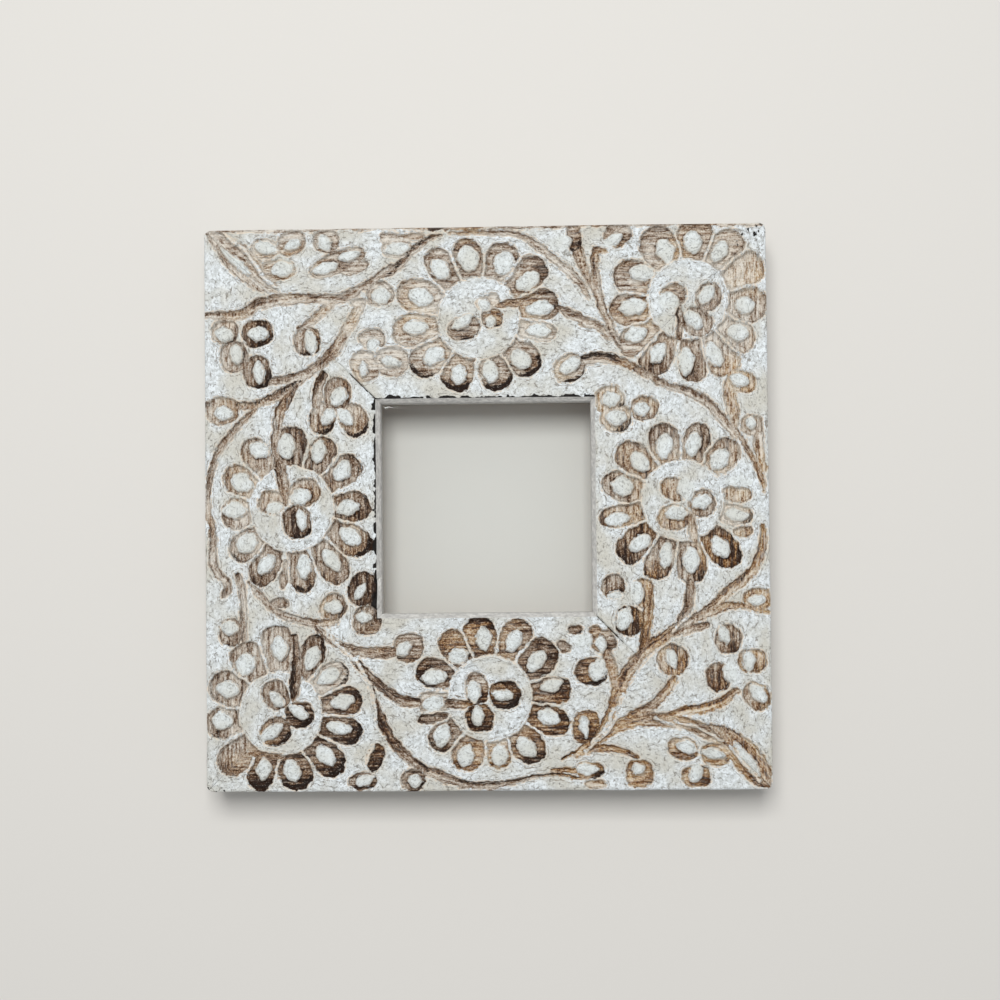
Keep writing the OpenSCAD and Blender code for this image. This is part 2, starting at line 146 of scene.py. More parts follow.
# Each hollow is an oval: its centre, half length, half width and turn, then the same of the seed that is left
# standing in it (None where it has none), then how brown it is stained, and how scorched on its lower side.
# A flower is its disc's centre and radius, its petals, and the three hollows in its disc. Places and sizes are mm
# from the middle of the frame, and turns are degrees from +X.
N = None
FLOWERS = [
    ((-1.8, 57.2, 12.2), [
        (-12.6, 72.6, 6.2, 4.0, 127, -13.3, 72.3, 3.7, 2.7, 137, .42, .1),
        (-5.0, 75.0, 6.0, 4.6, 100, -4.7, 75.3, 4.1, 3.4, 100, .42, .15),
        (5.3, 74.4, 5.6, 4.7, 68, 6.0, 73.9, 3.8, 3.2, 60, .45, .2),
        (13.6, 70.3, 5.6, 4.8, 45, 13.2, 68.2, 3.9, 2.8, 35, .5, .2),
        (16.9, 60.8, 5.6, 4.6, 10, 16.7, 60.0, 4.4, 2.4, 8, .5, .3),
        (16.9, 53.0, 4.5, 2.9, -8, 16.4, 53.3, 3.8, 2.1, 0, .15, .2),
        (11.7, 44.7, 5.4, 4.6, -45, 10.8, 44.7, 3.6, 2.8, -45, .4, .7),
        (3.3, 40.6, 5.3, 4.8, -75, 1.7, 41.1, 3.8, 2.6, 100, .45, 1),
        (-8.1, 40.3, 5.2, 4.5, -108, -7.9, 40.3, 3.4, 2.3, 80, .5, 1),
        (-17, 45, 5.8, 4.9, 219, -15.4, 46.1, 3.8, 2.7, 35, .35, .6),
        (-21.7, 53.9, 6, 4.9, 190, -20.8, 54.7, 4.1, 2.3, 0, .25, .1),
        (-19.7, 64.2, 6.6, 4.8, 165, -19.2, 63.9, 3.9, 2.7, -15, .3, .2),
    ], [
        (-6.2, 54.2, 5, 3.6, 20, -6.7, 56.1, 4, 1.6, 30, .4, .5),
        (1.2, 62.2, 3.6, 2.2, 20, 0, 61.1, 2.4, 1.8, -40, .2, .1),
        (2.4, 57.2, 3.2, 3.2, 0, 1.9, 56.1, 2, 1.6, 100, .5, .4),
    ]),
    ((61.3, 62.2, 11.9), [
        (53, 77.8, 6.4, 5.6, 115, 54.6, 76.9, 4, 2.9, 110, .4, .1),
        (63.6, 80.6, 5.4, 5.2, 83, 63, 79.4, 3.7, 2.8, 95, .4, .1),
        (73, 77.5, 5.6, 4.9, 45, 71.1, 76.4, 3.7, 2.3, 60, .3, .1),
        (78.3, 70.8, 5.9, 5.2, 20, N, 0, 0, 0, 0, .25, .05),
        (79.4, 60.4, 5.4, 5.3, 0, 78.6, 60.3, 3.1, 2.7, 0, .28, .1),
        (75.8, 50.8, 5.2, 4.8, -38, 76.2, 51.9, 3.6, 2.6, -15, .25, .1),
        (71.1, 44.7, 5.8, 5.3, -60, 69.1, 45.3, 4.1, 2.5, -65, .3, .1),
        (62.7, 43.1, 6, 4.1, -85, 60.7, 43.6, 4.4, 2.3, 90, .5, .2),
        (51.9, 45.6, 5.9, 5.1, 245, 52.2, 46.1, 3.6, 2.4, 60, .5, .3),
        (46.6, 50.3, 6.4, 4.7, 212, 45.7, 51.7, 3.8, 2.3, 20, .35, .1),
        (44.4, 59.4, 6.4, 5, 190, 44.8, 60, 4.3, 2.7, 8, .42, .1),
        (45.5, 68.6, 6.4, 5.2, 160, 47.7, 70.3, 4, 2.6, -8, .42, .1),
    ], [
        (57, 63.4, 4, 3.6, 20, 55.5, 61.7, 3.3, 2.8, 0, .45, 0),
        (67.6, 62.7, 4.4, 3.8, 60, 66.9, 63.3, 3.3, 2.2, 55, .42, .2),
        (64.1, 55.3, 5, 4.2, -45, 62.7, 56.1, 3.5, 2.4, -45, .45, .2),
    ]),
    ((-58.6, 0.2, 12.6), [
        (-58.8, 18.9, 6, 4.7, 90, -60.2, 19.2, 4.1, 2.7, 95, .55, .2),
        (-49.7, 16.1, 5.6, 4.3, 65, -50.5, 17.5, 3.6, 2.4, 80, .55, .2),
        (-43, 11.4, 5.6, 4.2, 35, -43.3, 11.7, 3.6, 2.4, 55, .5, .3),
        (-40.6, .6, 5.6, 4.3, 3, -41.9, .3, 3.6, 2.5, 10, .6, .3),
        (-40.8, -9.4, 6.2, 4.3, -27, -41.1, -8.3, 3.8, 2.4, -35, .55, .8),
        (-46.6, -16.7, 6.2, 4.2, -57, -46.8, -15.3, 4.1, 2.3, -55, .5, .3),
        (-55.8, -18.9, 6, 3.9, -83, -55.2, -17.2, 3.9, 2.1, 90, .55, .5),
        (-66.9, -16.9, 6.2, 4.3, 244, -66.6, -16.4, 3.7, 2.2, 50, .55, .4),
        (-72.2, -10.8, 5.6, 4.4, 217, -72.4, -10, 3.6, 3, 40, .35, .4),
        (-75.3, -1.1, 4.4, 4.4, 184, -76.1, 0, 3.7, 2.7, 0, .3, .2),
        (-74.4, 8.9, 4.9, 4.3, 150, -73.8, 8.3, 3.5, 3, -30, .38, .2),
        (-69.1, 16.4, 5.4, 4.1, 120, -68.6, 18.1, 3.4, 2.6, -30, .45, .1),
        (-61, -19.4, 4.6, 1.2, 80, N, 0, 0, 0, 0, .4, .1),
    ], [
        (-64.9, 2.2, 4, 3.6, 0, -64.1, .6, 2.8, 1.9, 15, .4, .1),
        (-55, 5, 5, 4.3, 25, -56.3, 3.9, 3.3, 2.6, 20, .45, .2),
        (-57.2, -3.9, 5.2, 4.4, 100, -55.9, -3.3, 3.2, 1.7, 95, .7, .6),
    ]),
    ((-62.4, -61.3, 12.3), [
        (-63.3, -41.3, 6.6, 4.8, 93, -62.7, -41.9, 3.8, 2.4, 95, .42, .1),
        (-52.7, -43.6, 5.8, 3.4, 72, -52.9, -44.7, 4, 2.5, 70, .55, .5),
        (-47.2, -50.8, 5.4, 4, 35, -48, -50.5, 4, 2.3, 25, .2, .5),
        (-43.2, -57.9, 5.2, 4.3, 8, -43.8, -58, 3.6, 2.3, 15, .6, .4),
        (-43.8, -66.5, 5.9, 4.1, -12, -44.9, -65.8, 4, 2.1, -10, .75, .8),
        (-48.8, -74.7, 6.2, 4.6, -45, -49.1, -74.1, 3.9, 2.4, -45, .7, .8),
        (-58, -79.1, 5, 5, -75, -59.1, -78.6, 3.5, 2.6, -70, .65, .8),
        (-68.3, -79.7, 4.6, 3.8, 250, -67.7, -78.3, 3.3, 2.3, 80, .65, .7),
        (-76.1, -74.7, 5.4, 4.6, 222, N, 0, 0, 0, 0, .45, .2),
        (-79.9, -64.1, 4.9, 4.4, 190, -80.2, -63.6, 3.4, 2.9, 0, .35, .1),
        (-77.7, -54.1, 6.2, 4.9, 155, -78.3, -54, 3.7, 2.8, -10, .4, .3),
        (-72.2, -45.2, 5.2, 5, 122, -73, -46.6, 3.4, 3, 90, .4, .1),
    ], [
        (-63.9, -55.8, 4.8, 4, 120, -63.6, -57.2, 3.2, 1.9, -45, .45, .1),
        (-56.8, -61.8, 4.4, 4.2, 0, -57.3, -61, 3.4, 1.9, -35, .6, .6),
        (-64, -66.8, 4.8, 4.2, 20, -65.2, -66.9, 4, 2, 35, .6, .7),
    ]),
    ((.6, -57.2, 12.6), [
        (-2.2, -38.7, 5.6, 4.8, 98, -1.1, -39.4, 3.7, 2.5, 100, .6, .5),
        (8.6, -39.2, 5.6, 4.6, 66, 8.1, -39.9, 3.7, 2.3, 65, .55, .1),
        (14.7, -45.5, 6.6, 5.4, 42, 14.7, -46.3, 3.7, 2.5, 50, .6, .1),
        (19.4, -55.2, 5.4, 3.9, 5, 19.2, -53.6, 3.7, 2, 15, .55, .2),
        (18.9, -64, 5.7, 4.1, -20, 18.2, -63, 3.5, 2.4, -20, .65, .4),
        (11.7, -71.4, 5.9, 4.6, -52, 11.4, -71.9, 3.8, 2.6, -50, .55, .5),
        (3.3, -74.3, 3.9, 3.4, -82, 3.3, -74.4, 3.3, 2.7, 90, .3, .3),
        (-6, -73.6, 5.4, 4.6, -110, -6.8, -74.6, 3.6, 2.6, 75, .42, .1),
        (-13.3, -68.6, 4.6, 3.9, 218, -13.8, -68.3, 3.6, 2.6, 70, .5, .4),
        (-16.4, -58.5, 4.2, 3.4, 185, -16.4, -58.8, 3.4, 2.6, 10, .35, .1),
        (-15.7, -49.9, 5.8, 4.3, 160, -16.1, -50.8, 3.9, 2.4, 5, .6, .3),
        (-9.7, -42, 5.3, 4.2, 122, -8.9, -44.7, 3.2, 2.4, 10, .55, .1),
        (-16.3, -62.9, 4.8, 1.6, 10, N, 0, 0, 0, 0, .55, .3),
    ], [
        (-3.3, -54.2, 4.8, 3.6, 95, -4.2, -55.2, 3.4, 2.3, 95, .55, .2),
        (5.1, -56.2, 4.8, 4.3, 0, 4.4, -56.3, 3.3, 1.8, -5, .75, .6),
        (-2.5, -63.2, 4.2, 4.3, 90, -3.1, -62.7, 3.1, 2.1, 95, .65, .4),
    ]),
    ((59, 1.6, 12), [
        (53.8, 18.9, 5.8, 4.7, 106, 53.8, 18.1, 4.1, 2.6, 80, .5, .1),
        (63.3, 19.2, 5.6, 3.9, 78, 62.4, 18.3, 3.9, 2.4, 80, .5, .1),
        (71, 14.7, 5.6, 4.4, 48, 70.2, 13.9, 3.7, 2.8, 50, .35, .1),
        (74.8, 3.1, 4.9, 2.1, 0, N, 0, 0, 0, 0, .3, .1),
        (75.2, -3.2, 4.5, 3.1, -12, 75, -3, 3.6, 2.1, -10, .15, .4),
        (77, -7.8, 2.6, 1.6, 0, N, 0, 0, 0, 0, .4, .3),
        (70.7, -12.8, 6.6, 4.4, -55, 70.2, -12.5, 3.8, 2.4, -60, .7, .35),
        (61.3, -17.2, 5.9, 4.4, -85, 61.3, -16.4, 4.2, 2.5, -85, .5, .4),
        (51.9, -16.1, 6, 4.3, -112, 54, -15, 4, 2.1, -95, .5, .4),
        (44.7, -11.7, 6, 4.5, 223, 46.1, -11.1, 3.9, 2.3, 35, .7, .4),
        (41, -2.8, 7, 3.2, 190, 39.4, -3.9, 3.9, 2.1, 8, .45, .2),
        (41.5, 6, 6.6, 4.2, 168, 41.1, 6.1, 3.6, 3, -15, .42, .2),
        (44.7, 13.9, 6, 4.6, 140, 46.2, 13.3, 3.6, 2.6, -45, .45, .2),
    ], [
        (56.4, 5, 4.2, 3.4, 150, 60.2, 5, 3.6, 2.6, 100, .45, .1),
        (64.8, .6, 4.1, 4.2, 0, 64.7, 1.1, 3.2, 2.3, 15, .45, .3),
        (56.2, -3.5, 5, 3.8, 0, 57.2, -2.2, 3.3, 2.3, 0, .4, .2),
    ]),
]
# Buds and blossoms that stand between the flowers, in the same terms
BUDS = [
    (-53.6, 50.8, 4.4, 4.2, 90, -52.7, 50.6, 4, 1.9, 100, .5, .5),
    (-66.6, 79, 4.2, 3, -5, -66.1, 79.4, 3.6, 2.2, -10, .2, .2),
    (-58.3, 80.8, 4.4, 3.8, 30, -58, 80.3, 2.9, 1.8, 30, .38, .2),
    (-47.7, 81.2, 4, 3.6, 0, -48.3, 80.8, 2.8, 2.2, 120, .38, .2),
    (-62.5, 72.5, 5.5, 3.2, 0, -61.1, 72.8, 3.4, 2.7, 0, .3, .1),
    (-44.4, 74.7, 9, 3.4, 22, -48, 73.1, 4, 2, 15, .4, .3),
    (-39.3, 72.9, 4.5, 1.8, 18, -40.8, 76.7, 3.6, 1.6, 20, .4, .6),
    (-26.1, 78.6, 4.4, 3, 0, -26.1, 78.6, 4, 2.2, 10, .3, .2),
    (-31.5, 65, 4.4, 3.8, 0, -31.3, 64.4, 3, 2.8, 0, .3, .2),
    (-38.5, 62.2, 2.2, 1.6, 0, N, 0, 0, 0, 0, .1, 0),
    (-33.9, 51.3, 4.2, 3.2, 0, -33.8, 49.3, 2.6, 2.0, 60, .3, .3),
    (-36.2, 43, 4.8, 4, 110, -36.7, 42.3, 2.6, 1.2, 90, .28, .1),
    (-28, 44.4, 5.2, 4.6, 0, -28.3, 44.4, 3.4, 1.8, -15, .28, .1),
    (-78.7, 54, 4.2, 3.8, 0, -79.1, 53.3, 3, 2.2, -15, .35, .4),
    (-68.8, 53.4, 4.8, 4.3, 0, -68.8, 53.2, 3.3, 2.3, 0, .75, .45),
    (-76, 46.4, 5, 4.4, 100, -75.4, 47.2, 3.2, 2.1, 95, .4, .2),
    (-69, 41.6, 5.2, 4.3, 105, -68.6, 41.7, 3.5, 1.8, 95, .6, .7),
    (-44.8, 34.9, 5, 4.3, 80, -44.4, 34, 3.3, 2.5, 60, .55, .2),
    (-49.1, 27.5, 5, 4, 70, -47.7, 27.8, 3, 2, 60, .5, .6),
    (-39.7, 26.7, 5.2, 4.2, 120, -42.2, 27.8, 3.2, 2, 125, .45, .7),
    (-79.5, 30, 5, 4.4, 0, -79.3, 29.3, 3, 2.4, 0, .4, .2),
    (-37.4, -24.2, 5.3, 4.3, 60, -38.3, -25, 2.9, 1.5, 60, .75, .3),
    (-46.3, -29.5, 4.2, 4, 60, -46.3, -29.5, 2.8, 2.2, 0, .4, .3),
    (-36.3, -33.6, 4.6, 4.3, 90, -37.2, -32.6, 2.5, 1.7, 0, .55, .1),
    (-62.7, -28.3, 3, 1.6, 0, N, 0, 0, 0, 0, .4, .2),
    (-77.3, -36.9, 4.2, 3.7, 90, -77.7, -35.6, 2.8, 2.3, 0, .4, .3),
    (-34, -74.8, 4.3, 2.6, 72, N, 0, 0, 0, 0, .75, .5),
    (-37.8, -81.8, 4.4, 2.5, 5, -37.2, -81.6, 3.2, 1.6, 20, .6, .3),
    (-23.7, -41.8, 4.7, 4.4, 20, -25.3, -42.4, 2.9, 1.9, 35, .5, .3),
    (-22.5, -81.5, 3.6, 3.4, 0, -22.2, -81.9, 2.2, 2.2, 0, .5, .6),
    (26.4, -36.9, 2.4, 1.6, 0, N, 0, 0, 0, 0, .5, .1),
    (23, -41.9, 2.2, 1.8, -30, N, 0, 0, 0, 0, .5, .2),
    (34.7, -40.5, 3.8, 4, 90, 34.1, -41.3, 2.8, 1.7, 95, .45, .3),
    (32.4, -37.2, 2.2, 1.5, 0, N, 0, 0, 0, 0, .5, .1),
    (31, -49.5, 4.8, 4.4, 0, 33, -49, 3.5, 2.5, 70, .7, .8),
    (29.4, -66, 5, 4.2, 90, 28.8, -65.8, 3.6, 1.6, 100, .6, .4),
    (30.5, -78.9, 4.4, 2.6, 0, 29.5, -78.6, 3.6, 1.8, 0, .5, .6),
    (32, -83, 3.2, 1.4, 0, N, 0, 0, 0, 0, .3, .1),
    (25.5, 41.8, 5, 4.2, 30, 25.7, 42.5, 3.6, 2.2, 35, .3, .6),
    (27.3, 81.5, 4.8, 2.2, 95, 23.3, 79.7, 3.6, 2.6, 20, .5, .5),
    (40.5, 82, 4.4, 3.8, 30, 39.1, 80.3, 3.4, 1.8, 35, .45, .3),
    (77, 37.2, 4.8, 3.4, -20, 76.6, 37.5, 3.3, 2.1, -20, .3, .1),
    (37.5, 32, 4.4, 4.3, 0, 37.7, 32.2, 3, 2.4, 20, .2, .5),
    (39.4, 26.5, 4.8, 4.2, 0, 39.3, 26.6, 3.3, 2.5, 0, .25, .5),
    (48, 29.5, 4.2, 3.9, 0, 47, 29.4, 2.6, 2.4, 0, .45, .2),
    (38, -24, 3.8, 3.6, 0, 38.6, -26.6, 2.4, 1.4, 0, .55, .4),
    (46.9, -26, 4.6, 3.2, 90, 44.9, -26, 4, 2.3, 90, .5, .3),
    (42.7, -34.5, 4.5, 4.3, 90, 41.3, -33.8, 3.4, 2.4, 70, .7, .3),
    (55.5, -46.1, 4.8, 4.6, 0, 55.2, -45.8, 2.9, 1.7, 110, .45, .1),
    (72.2, -40, 4.4, 4.1, 90, 70.8, -38.8, 3, 1.8, 110, .5, .3),
    (79.1, -46.5, 4.3, 3.7, 0, 78.3, -46.6, 3.1, 1.8, 95, .35, .3),
    (69, -51.5, 4.4, 3.7, 100, 72.6, -50.4, 3.2, 2.1, 110, .55, .3),
    (80.4, -57.2, 4.9, 3.7, -45, 81, -56.3, 3.6, 2, -50, .4, .3),
    (58.3, -72.6, 4.7, 3.3, -10, 59.4, -72.2, 3.5, 2, -15, .42, .3),
    (68, -74.4, 4.5, 3.6, -10, 67.2, -74.2, 3.5, 1.8, -10, .35, .3),
    (62.2, -80.8, 4.4, 3.4, 0, 62, -80, 3.3, 2.1, 80, .45, .2),
    (45.2, -80, 4.3, 4.2, 0, 44.9, -78.6, 2.1, 1.9, 0, .45, .1),
    (80, 24, 3.4, 3.2, 0, 79.7, 24.7, 2, 1.6, 90, .3, .1),
    (81, -28, 4.2, 3.4, 0, 80.8, -28.5, 2.6, 1.8, 0, .4, .2),
]
# Seeds that stand on the face with no hollow of their own: centre, half length, half width, turn
LONE_SEEDS = [(75.8, 7, 4.4, 2, 0), (28.6, -40.3, 3.2, 2.4, 0)]

# Stems are grooves: stain, scorch, then points along the middle as x, y and half width
STEMS = [
    (.38, .2, [(-85, 59, .8), (-74, 59.2, 1.2), (-69.7, 61.7, 1.4), (-64.7, 63.3, 1.3), (-59, 63.6, 1.3),
               (-53.6, 63.9, 1.2), (-48, 63.6, 1.2), (-43.6, 63.4, 1.2), (-40, 65.3, 1.1), (-36, 67.5, 1),
               (-32, 70.2, .9), (-28, 73, .8)]),
    (.35, .2, [(-46, 62.5, 1), (-49, 60, 1.1), (-53, 56.8, 1), (-56, 54.8, .6)]),
    (.15, .1, [(-37, 62.5, 1), (-39.5, 58, 1.4), (-42, 53.6, 1.4)]),
    (.45, .2, [(-41.2, 54.6, 1), (-42.5, 52.6, 1.2), (-45, 48.5, 1.4), (-49, 44.6, 1.3), (-52.5, 41.9, 1.3),
               (-57, 39.7, 1.2), (-65, 38.7, 1)]),
    (.6, .3, [(-48.8, 40.5, 1.1), (-50.3, 37, 1.1), (-50.8, 33, 1.1), (-50.6, 30, .8)]),
    (.45, .4, [(-84.5, 31.5, .9), (-77, 31.5, 1), (-70, 31.7, 1), (-65, 33.5, 1.1), (-60, 36, 1.2), (-56, 39, 1)]),
    (.5, .3, [(-57, 38, .9), (-60, 33.5, 1.3), (-62.3, 29, 1.3), (-63, 24.5, 1.2), (-63.2, 19, 1.4),
              (-62, 12.5, 1.4), (-60.9, 6, 1.2), (-61, 1.5, .6)]),
    (.4, .3, [(-69.7, 30.5, .7), (-74, 26, .9), (-78, 21.7, .9), (-80.8, 17.8, .9), (-82.4, 14, .8),
              (-83.3, 10, .8), (-84, 6, .8), (-84.2, 1, .9), (-83.3, -3.3, .8), (-82.4, -9, .9), (-82.7, -14.4, 1),
              (-81.5, -19, 1), (-78.8, -21.5, 1), (-78.2, -24, 1), (-79.7, -26, .7)]),
    (.3, .4, [(-74.9, -19.5, .8), (-73.8, -24, .9), (-73.4, -29, .9), (-73.4, -34, .9), (-73.2, -39, .7)]),
    (.4, .3, [(-72, -22, .5), (-68.5, -25.5, .8), (-66.3, -28.5, .8), (-63, -31.2, .9), (-59, -32.8, 1),
              (-54.7, -33.8, 1), (-50.2, -34.4, 1), (-45.2, -34.1, .7)]),
    (.5, .2, [(-52.5, -34.5, .6), (-49, -38, .9), (-43.5, -41.5, 1.1), (-39, -42.9, 1.3), (-32.4, -43.4, 1.4),
              (-28, -43.4, 1.3), (-26, -42.4, 1)]),
    (.6, .5, [(-41, -44.5, .7), (-38, -48, 1), (-35.8, -50.2, 1.1), (-31.3, -54.1, 1.1), (-27.5, -56.8, 1.2),
              (-23.5, -58.2, 1.2), (-20.5, -58.6, 1)]),
    (.6, .45, [(-34.9, -54, .6), (-33.3, -59.5, .8), (-31.7, -64.6, 1.3), (-29.6, -68.4, 1.1), (-26.6, -72.4, 1.2),
               (-23, -75.9, 1.1), (-19, -78.3, 1), (-17, -79.4, 1)]),
    (.45, .5, [(-18, -78.9, 1.1), (-14, -80.6, 1.2), (-10.6, -81.9, 1.1), (-5, -83.2, .9), (1.1, -83.3, .9),
               (5.6, -82.6, .7), (8.9, -81.8, .5), (14.4, -80.6, .5), (20, -80.2, .5), (25.6, -80.9, .5),
               (30, -81.2, .4)]),
    (.55, .5, [(-58.3, -38.5, .9), (-57.6, -45, 1.4), (-57.8, -51, 1.4), (-58.5, -56.5, .9)]),
    (.55, .4, [(-13.5, -58.7, 1), (-9.5, -58.9, 1.2), (-5.2, -59.2, .7)]),
    (.4, .1, [(-70.8, -73, .8), (-65.8, -74.1, .9), (-61.3, -74.7, .8)]),
    (.4, .1, [(26.5, -74, 1), (33.5, -69.3, 1.4), (37.4, -66.5, 1.4), (42, -63.8, 1.4), (46.3, -61.5, 1.4),
              (50, -59, 1.2), (53, -55.8, 1.1), (55.6, -52, 1)]),
    (.4, .2, [(37, -66.8, 1.2), (41.9, -64.9, 1.5), (47.4, -64, 1.7), (54.7, -64.3, 1.6), (59.1, -65.2, 1.6),
              (63.5, -66.9, 1.6), (67, -68.3, 1.5), (70, -69.8, 1.5)]),
    (.42, .2, [(54, -63, .8), (59.1, -61.3, 1.1), (63.5, -61, 1.2), (66.9, -60, 1.2), (70.2, -58.8, 1.2),
               (74.1, -55.8, .9)]),
    (.45, .2, [(31, -71, 1), (36, -64, 1.3), (38.8, -56.5, 1.6), (41.9, -50.2, 1.8), (46.3, -44.7, 1.5),
               (50.2, -41.3, 1.4), (54.1, -38.6, 1.3), (57.4, -36.3, 1.2), (61.3, -34.1, 1.3), (65.8, -32.2, 1.2),
               (70.2, -30.6, 1.1), (75.2, -30, .8), (80.8, -31.2, .7), (84.5, -32, .5)]),
    (.4, .2, [(35.2, -41.5, 1), (36.3, -45.9, 1.4), (37.8, -50.3, 1.2), (38.6, -54.7, 1.1)]),
    (.42, .3, [(56, -38.4, .8), (61.3, -36.7, 1), (65.4, -35.9, .9)]),
    (.45, .3, [(61, -20, .8), (61.2, -25, 1.1), (60.3, -30, 1.2), (58, -34.5, 1)]),
    (.6, .3, [(48.8, -27, 1), (48.3, -32, 1.2), (47.6, -38, 1.3), (46.2, -43.3, 1)]),
    (.45, .3, [(29.7, -73, .8), (34.7, -72.3, .9), (40.8, -73.4, .8), (44.7, -75, .6)]),
    (.4, .1, [(61.3, -3.3, .7), (61.9, -7.8, 1), (63, -12, .8)]),
    (.5, .3, [(74.3, 24, .6), (77.4, 19.4, .7), (79.3, 15.6, .7), (81.4, 12, .7), (83, 7.8, .7), (83.6, 4, .4)]),
    (.4, .3, [(82.7, -6, .5), (83, -10, 1), (82.2, -14.4, 1.1), (80.2, -18.9, 1.1), (76.9, -22.2, 1.2),
              (72.4, -25.6, 1.1), (69.1, -28.9, 1.1), (65, -32, .9)]),
    (.45, .5, [(29.1, 43.9, 1.3), (33.6, 44.7, 1.4), (39.1, 44.3, 1.2), (43, 42.6, 1), (47.4, 40.4, .9),
               (51.9, 37.8, .9), (56.9, 35.5, .9), (61.3, 34.2, 1), (65.8, 31.8, 1.1), (69.5, 28, 1.1),
               (72.4, 24.5, 1.1), (74.8, 21, .9)]),
    (.42, .2, [(36.5, 76.8, .6), (33.9, 77, 1), (33.4, 71.7, 1), (33.9, 66, 1), (35.2, 61, 1), (36.9, 56.7, 1),
               (38.6, 52.2, 1), (41.3, 47.8, .9)]),
    (.45, .4, [(22.5, 60.3, .6), (26, 58.2, 1.1), (31.3, 55.3, 1.2), (35.2, 53.7, 1), (37.8, 50.7, .9)]),
    (.45, .2, [(4.2, 61.2, .8), (8, 61.5, 1.1), (11.5, 61.9, 1)]),
    (.35, .2, [(-10, 83.2, .5), (8.9, 82.6, .7), (16.1, 78.9, .9), (21.1, 75, 1), (25.6, 71.1, 1),
               (29.5, 66.6, .9), (31.5, 63, .6)]),
    (.42, .2, [(28.6, 77, 1.4), (30, 72.5, 1.1), (31.8, 67.6, .9), (33, 65.5, .6)]),
    (.38, .4, [(-31, 70.5, .7), (-27.5, 71.8, .9), (-24, 75.2, .9), (-20.5, 78.8, 1), (-16.5, 81.6, .8),
               (-13, 82.6, .4)]),
    (.3, .1, [(-30, 82, 1.2), (-24, 81.8, 1.2), (-19, 82.2, .8)]),
    (.3, .1, [(81.9, 21, 1.2), (82.2, 16, 1.2), (83.4, 11, .8)]),
    (.5, .1, [(58.6, 60, .6), (58.9, 55, 1), (58.4, 50.4, .8)]),
    (.3, .1, [(73.2, 37, 1), (73.4, 33, 1.5), (74.5, 28, 1.4), (75, 24, 1)]),
    (.4, .1, [(19, -78.7, .4), (24, -78.9, .8), (30, -79.2, .5)]),
    (.7, .5, [(22, -75.5, .4), (26, -73.5, .5), (29.5, -72.2, .5)]),
    (.35, .1, [(-84.5, 84.8, .4), (-79.3, 80.9, 2.3), (-73.8, 75.6, 3.4), (-68.3, 70.3, 2.8), (-63.5, 66.6, 1.1)]),
    (.45, .3, [(66, -66.5, 1), (71, -69.3, 2.2), (76, -74, 3.4), (80.5, -79.5, 3), (84, -84, .6)]),
]
# Long seeds in the two corner leaves, as x, y and half width
LEAF_SEEDS = [
    [(-79.8, 79.6, .4), (-77, 76.9, 1.1), (-74, 74, 1.3), (-71.2, 71.6, .5)],
    [(73.8, -71.2, .5), (76.5, -74.6, 1.3), (79.3, -78.2, 1.1), (80.8, -80.6, .4)],
]
# Thin ridges that the gouge left beside the stems and leaves, as x, y and half width
STEM_RIDGES = [
    [(-79, 84, .4), (-73, 79, .5), (-70, 75.2, .5), (-66, 69.8, .5), (-62.5, 66.8, .4)],
    [(72.4, -72, .4), (77, -78, .45), (81, -82.5, .4)],
    [(-49, -37.5, .4), (-42, -43.5, .45), (-38, -48.5, .45), (-34.6, -56, .45), (-33.7, -64, .45), (-34.4, -70, .45),
     (-36.8, -76.5, .4)],
    [(50, -63.4, .3), (57, -66.3, .35), (62, -69.5, .3)], [(56, -64.6, .25), (63, -66.4, .3), (70, -70.5, .3)],
    [(37.5, -60.8, .5), (35.5, -66, .4), (31, -70.5, .4)], [(40.5, -56, .3), (36.5, -66.5, .35), (29, -73.5, .3)],
    [(42.5, -53, .3), (48, -45.5, .3), (54, -41, .3)], [(55.5, -38, .35), (60, -33.5, .3), (66, -29.5, .3)],
]

HOLLOW_DEPTH, STEM_DEPTH = 1.5, 1.15  # mm
FACE_DROP = 0.26                      # mm, which keeps the face's highest waves under the top
WALL_RUN = 0.8                        # mm, how far a gouged wall slopes
PETAL_WALL = 0.36                     # mm, half the wall left between two petals
PETAL_GROWTH = 0.3                    # mm, how far the gouge ran past the drawn petals
STEM_SPREAD = 1.3                     # the stems' grooves are this much wider than their stained middles
GROOVE_IN, GROOVE_DEPTH = 1.5, 0.28   # mm, of the groove inside a disc's rim
SEED_TOP, SEED_DOME, SEED_RUN = 0.1, 0.6, 1.2    # mm: below the face, how domed, and over what run
HOLLOW_POWER, SEED_POWER = 2.3, 1.7   # 2 is an ellipse: hollows are fuller than one, and seeds more pointed
WAVER = ((0.3, 2.1), (0.2, 0.85))     # mm: a gouge wavers by so much over so long
FAR, PETAL_FAR = 4.0, 9.0             # mm, the distance to hollows that aren't near
MID_STAIN = 0.4                       # of the wood between the hollows, under the paint
STREAKS_APART = 90                    # mm along the pattern of streaks, from one stem's to the next one's
MARGIN, PETAL_MARGIN, STEM_MARGIN = 3, 14, 5     # mm, how far round a shape its distances are worked out
# the low side of a hollow is also where its floor and lower wall are painted darker, as shade
LOW_SIDE, PETAL_LOW_SIDE = (0.5, -0.75), (0.25, -0.45)    # where the stain ran down to and was scorched


def oval(x, y, cx, cy, a, b, turn, power=HOLLOW_POWER):
    """Distance outside an oval, about: rho = (|u/a|^p + |v/b|^p)^(1/p), then (rho - 1) times radius / rho."""
    dx, dy = x - cx, y - cy
    c, s = math.cos(math.radians(turn)), math.sin(math.radians(turn))
    u, v = np.abs(dx * c + dy * s) / a, np.abs(dy * c - dx * s) / b
    rho = (u ** power + v ** power) ** (1 / power)
    reach = np.where(rho > 1e-3, np.hypot(dx, dy) / np.maximum(rho, 1e-3), b)
    return (rho - 1) * reach


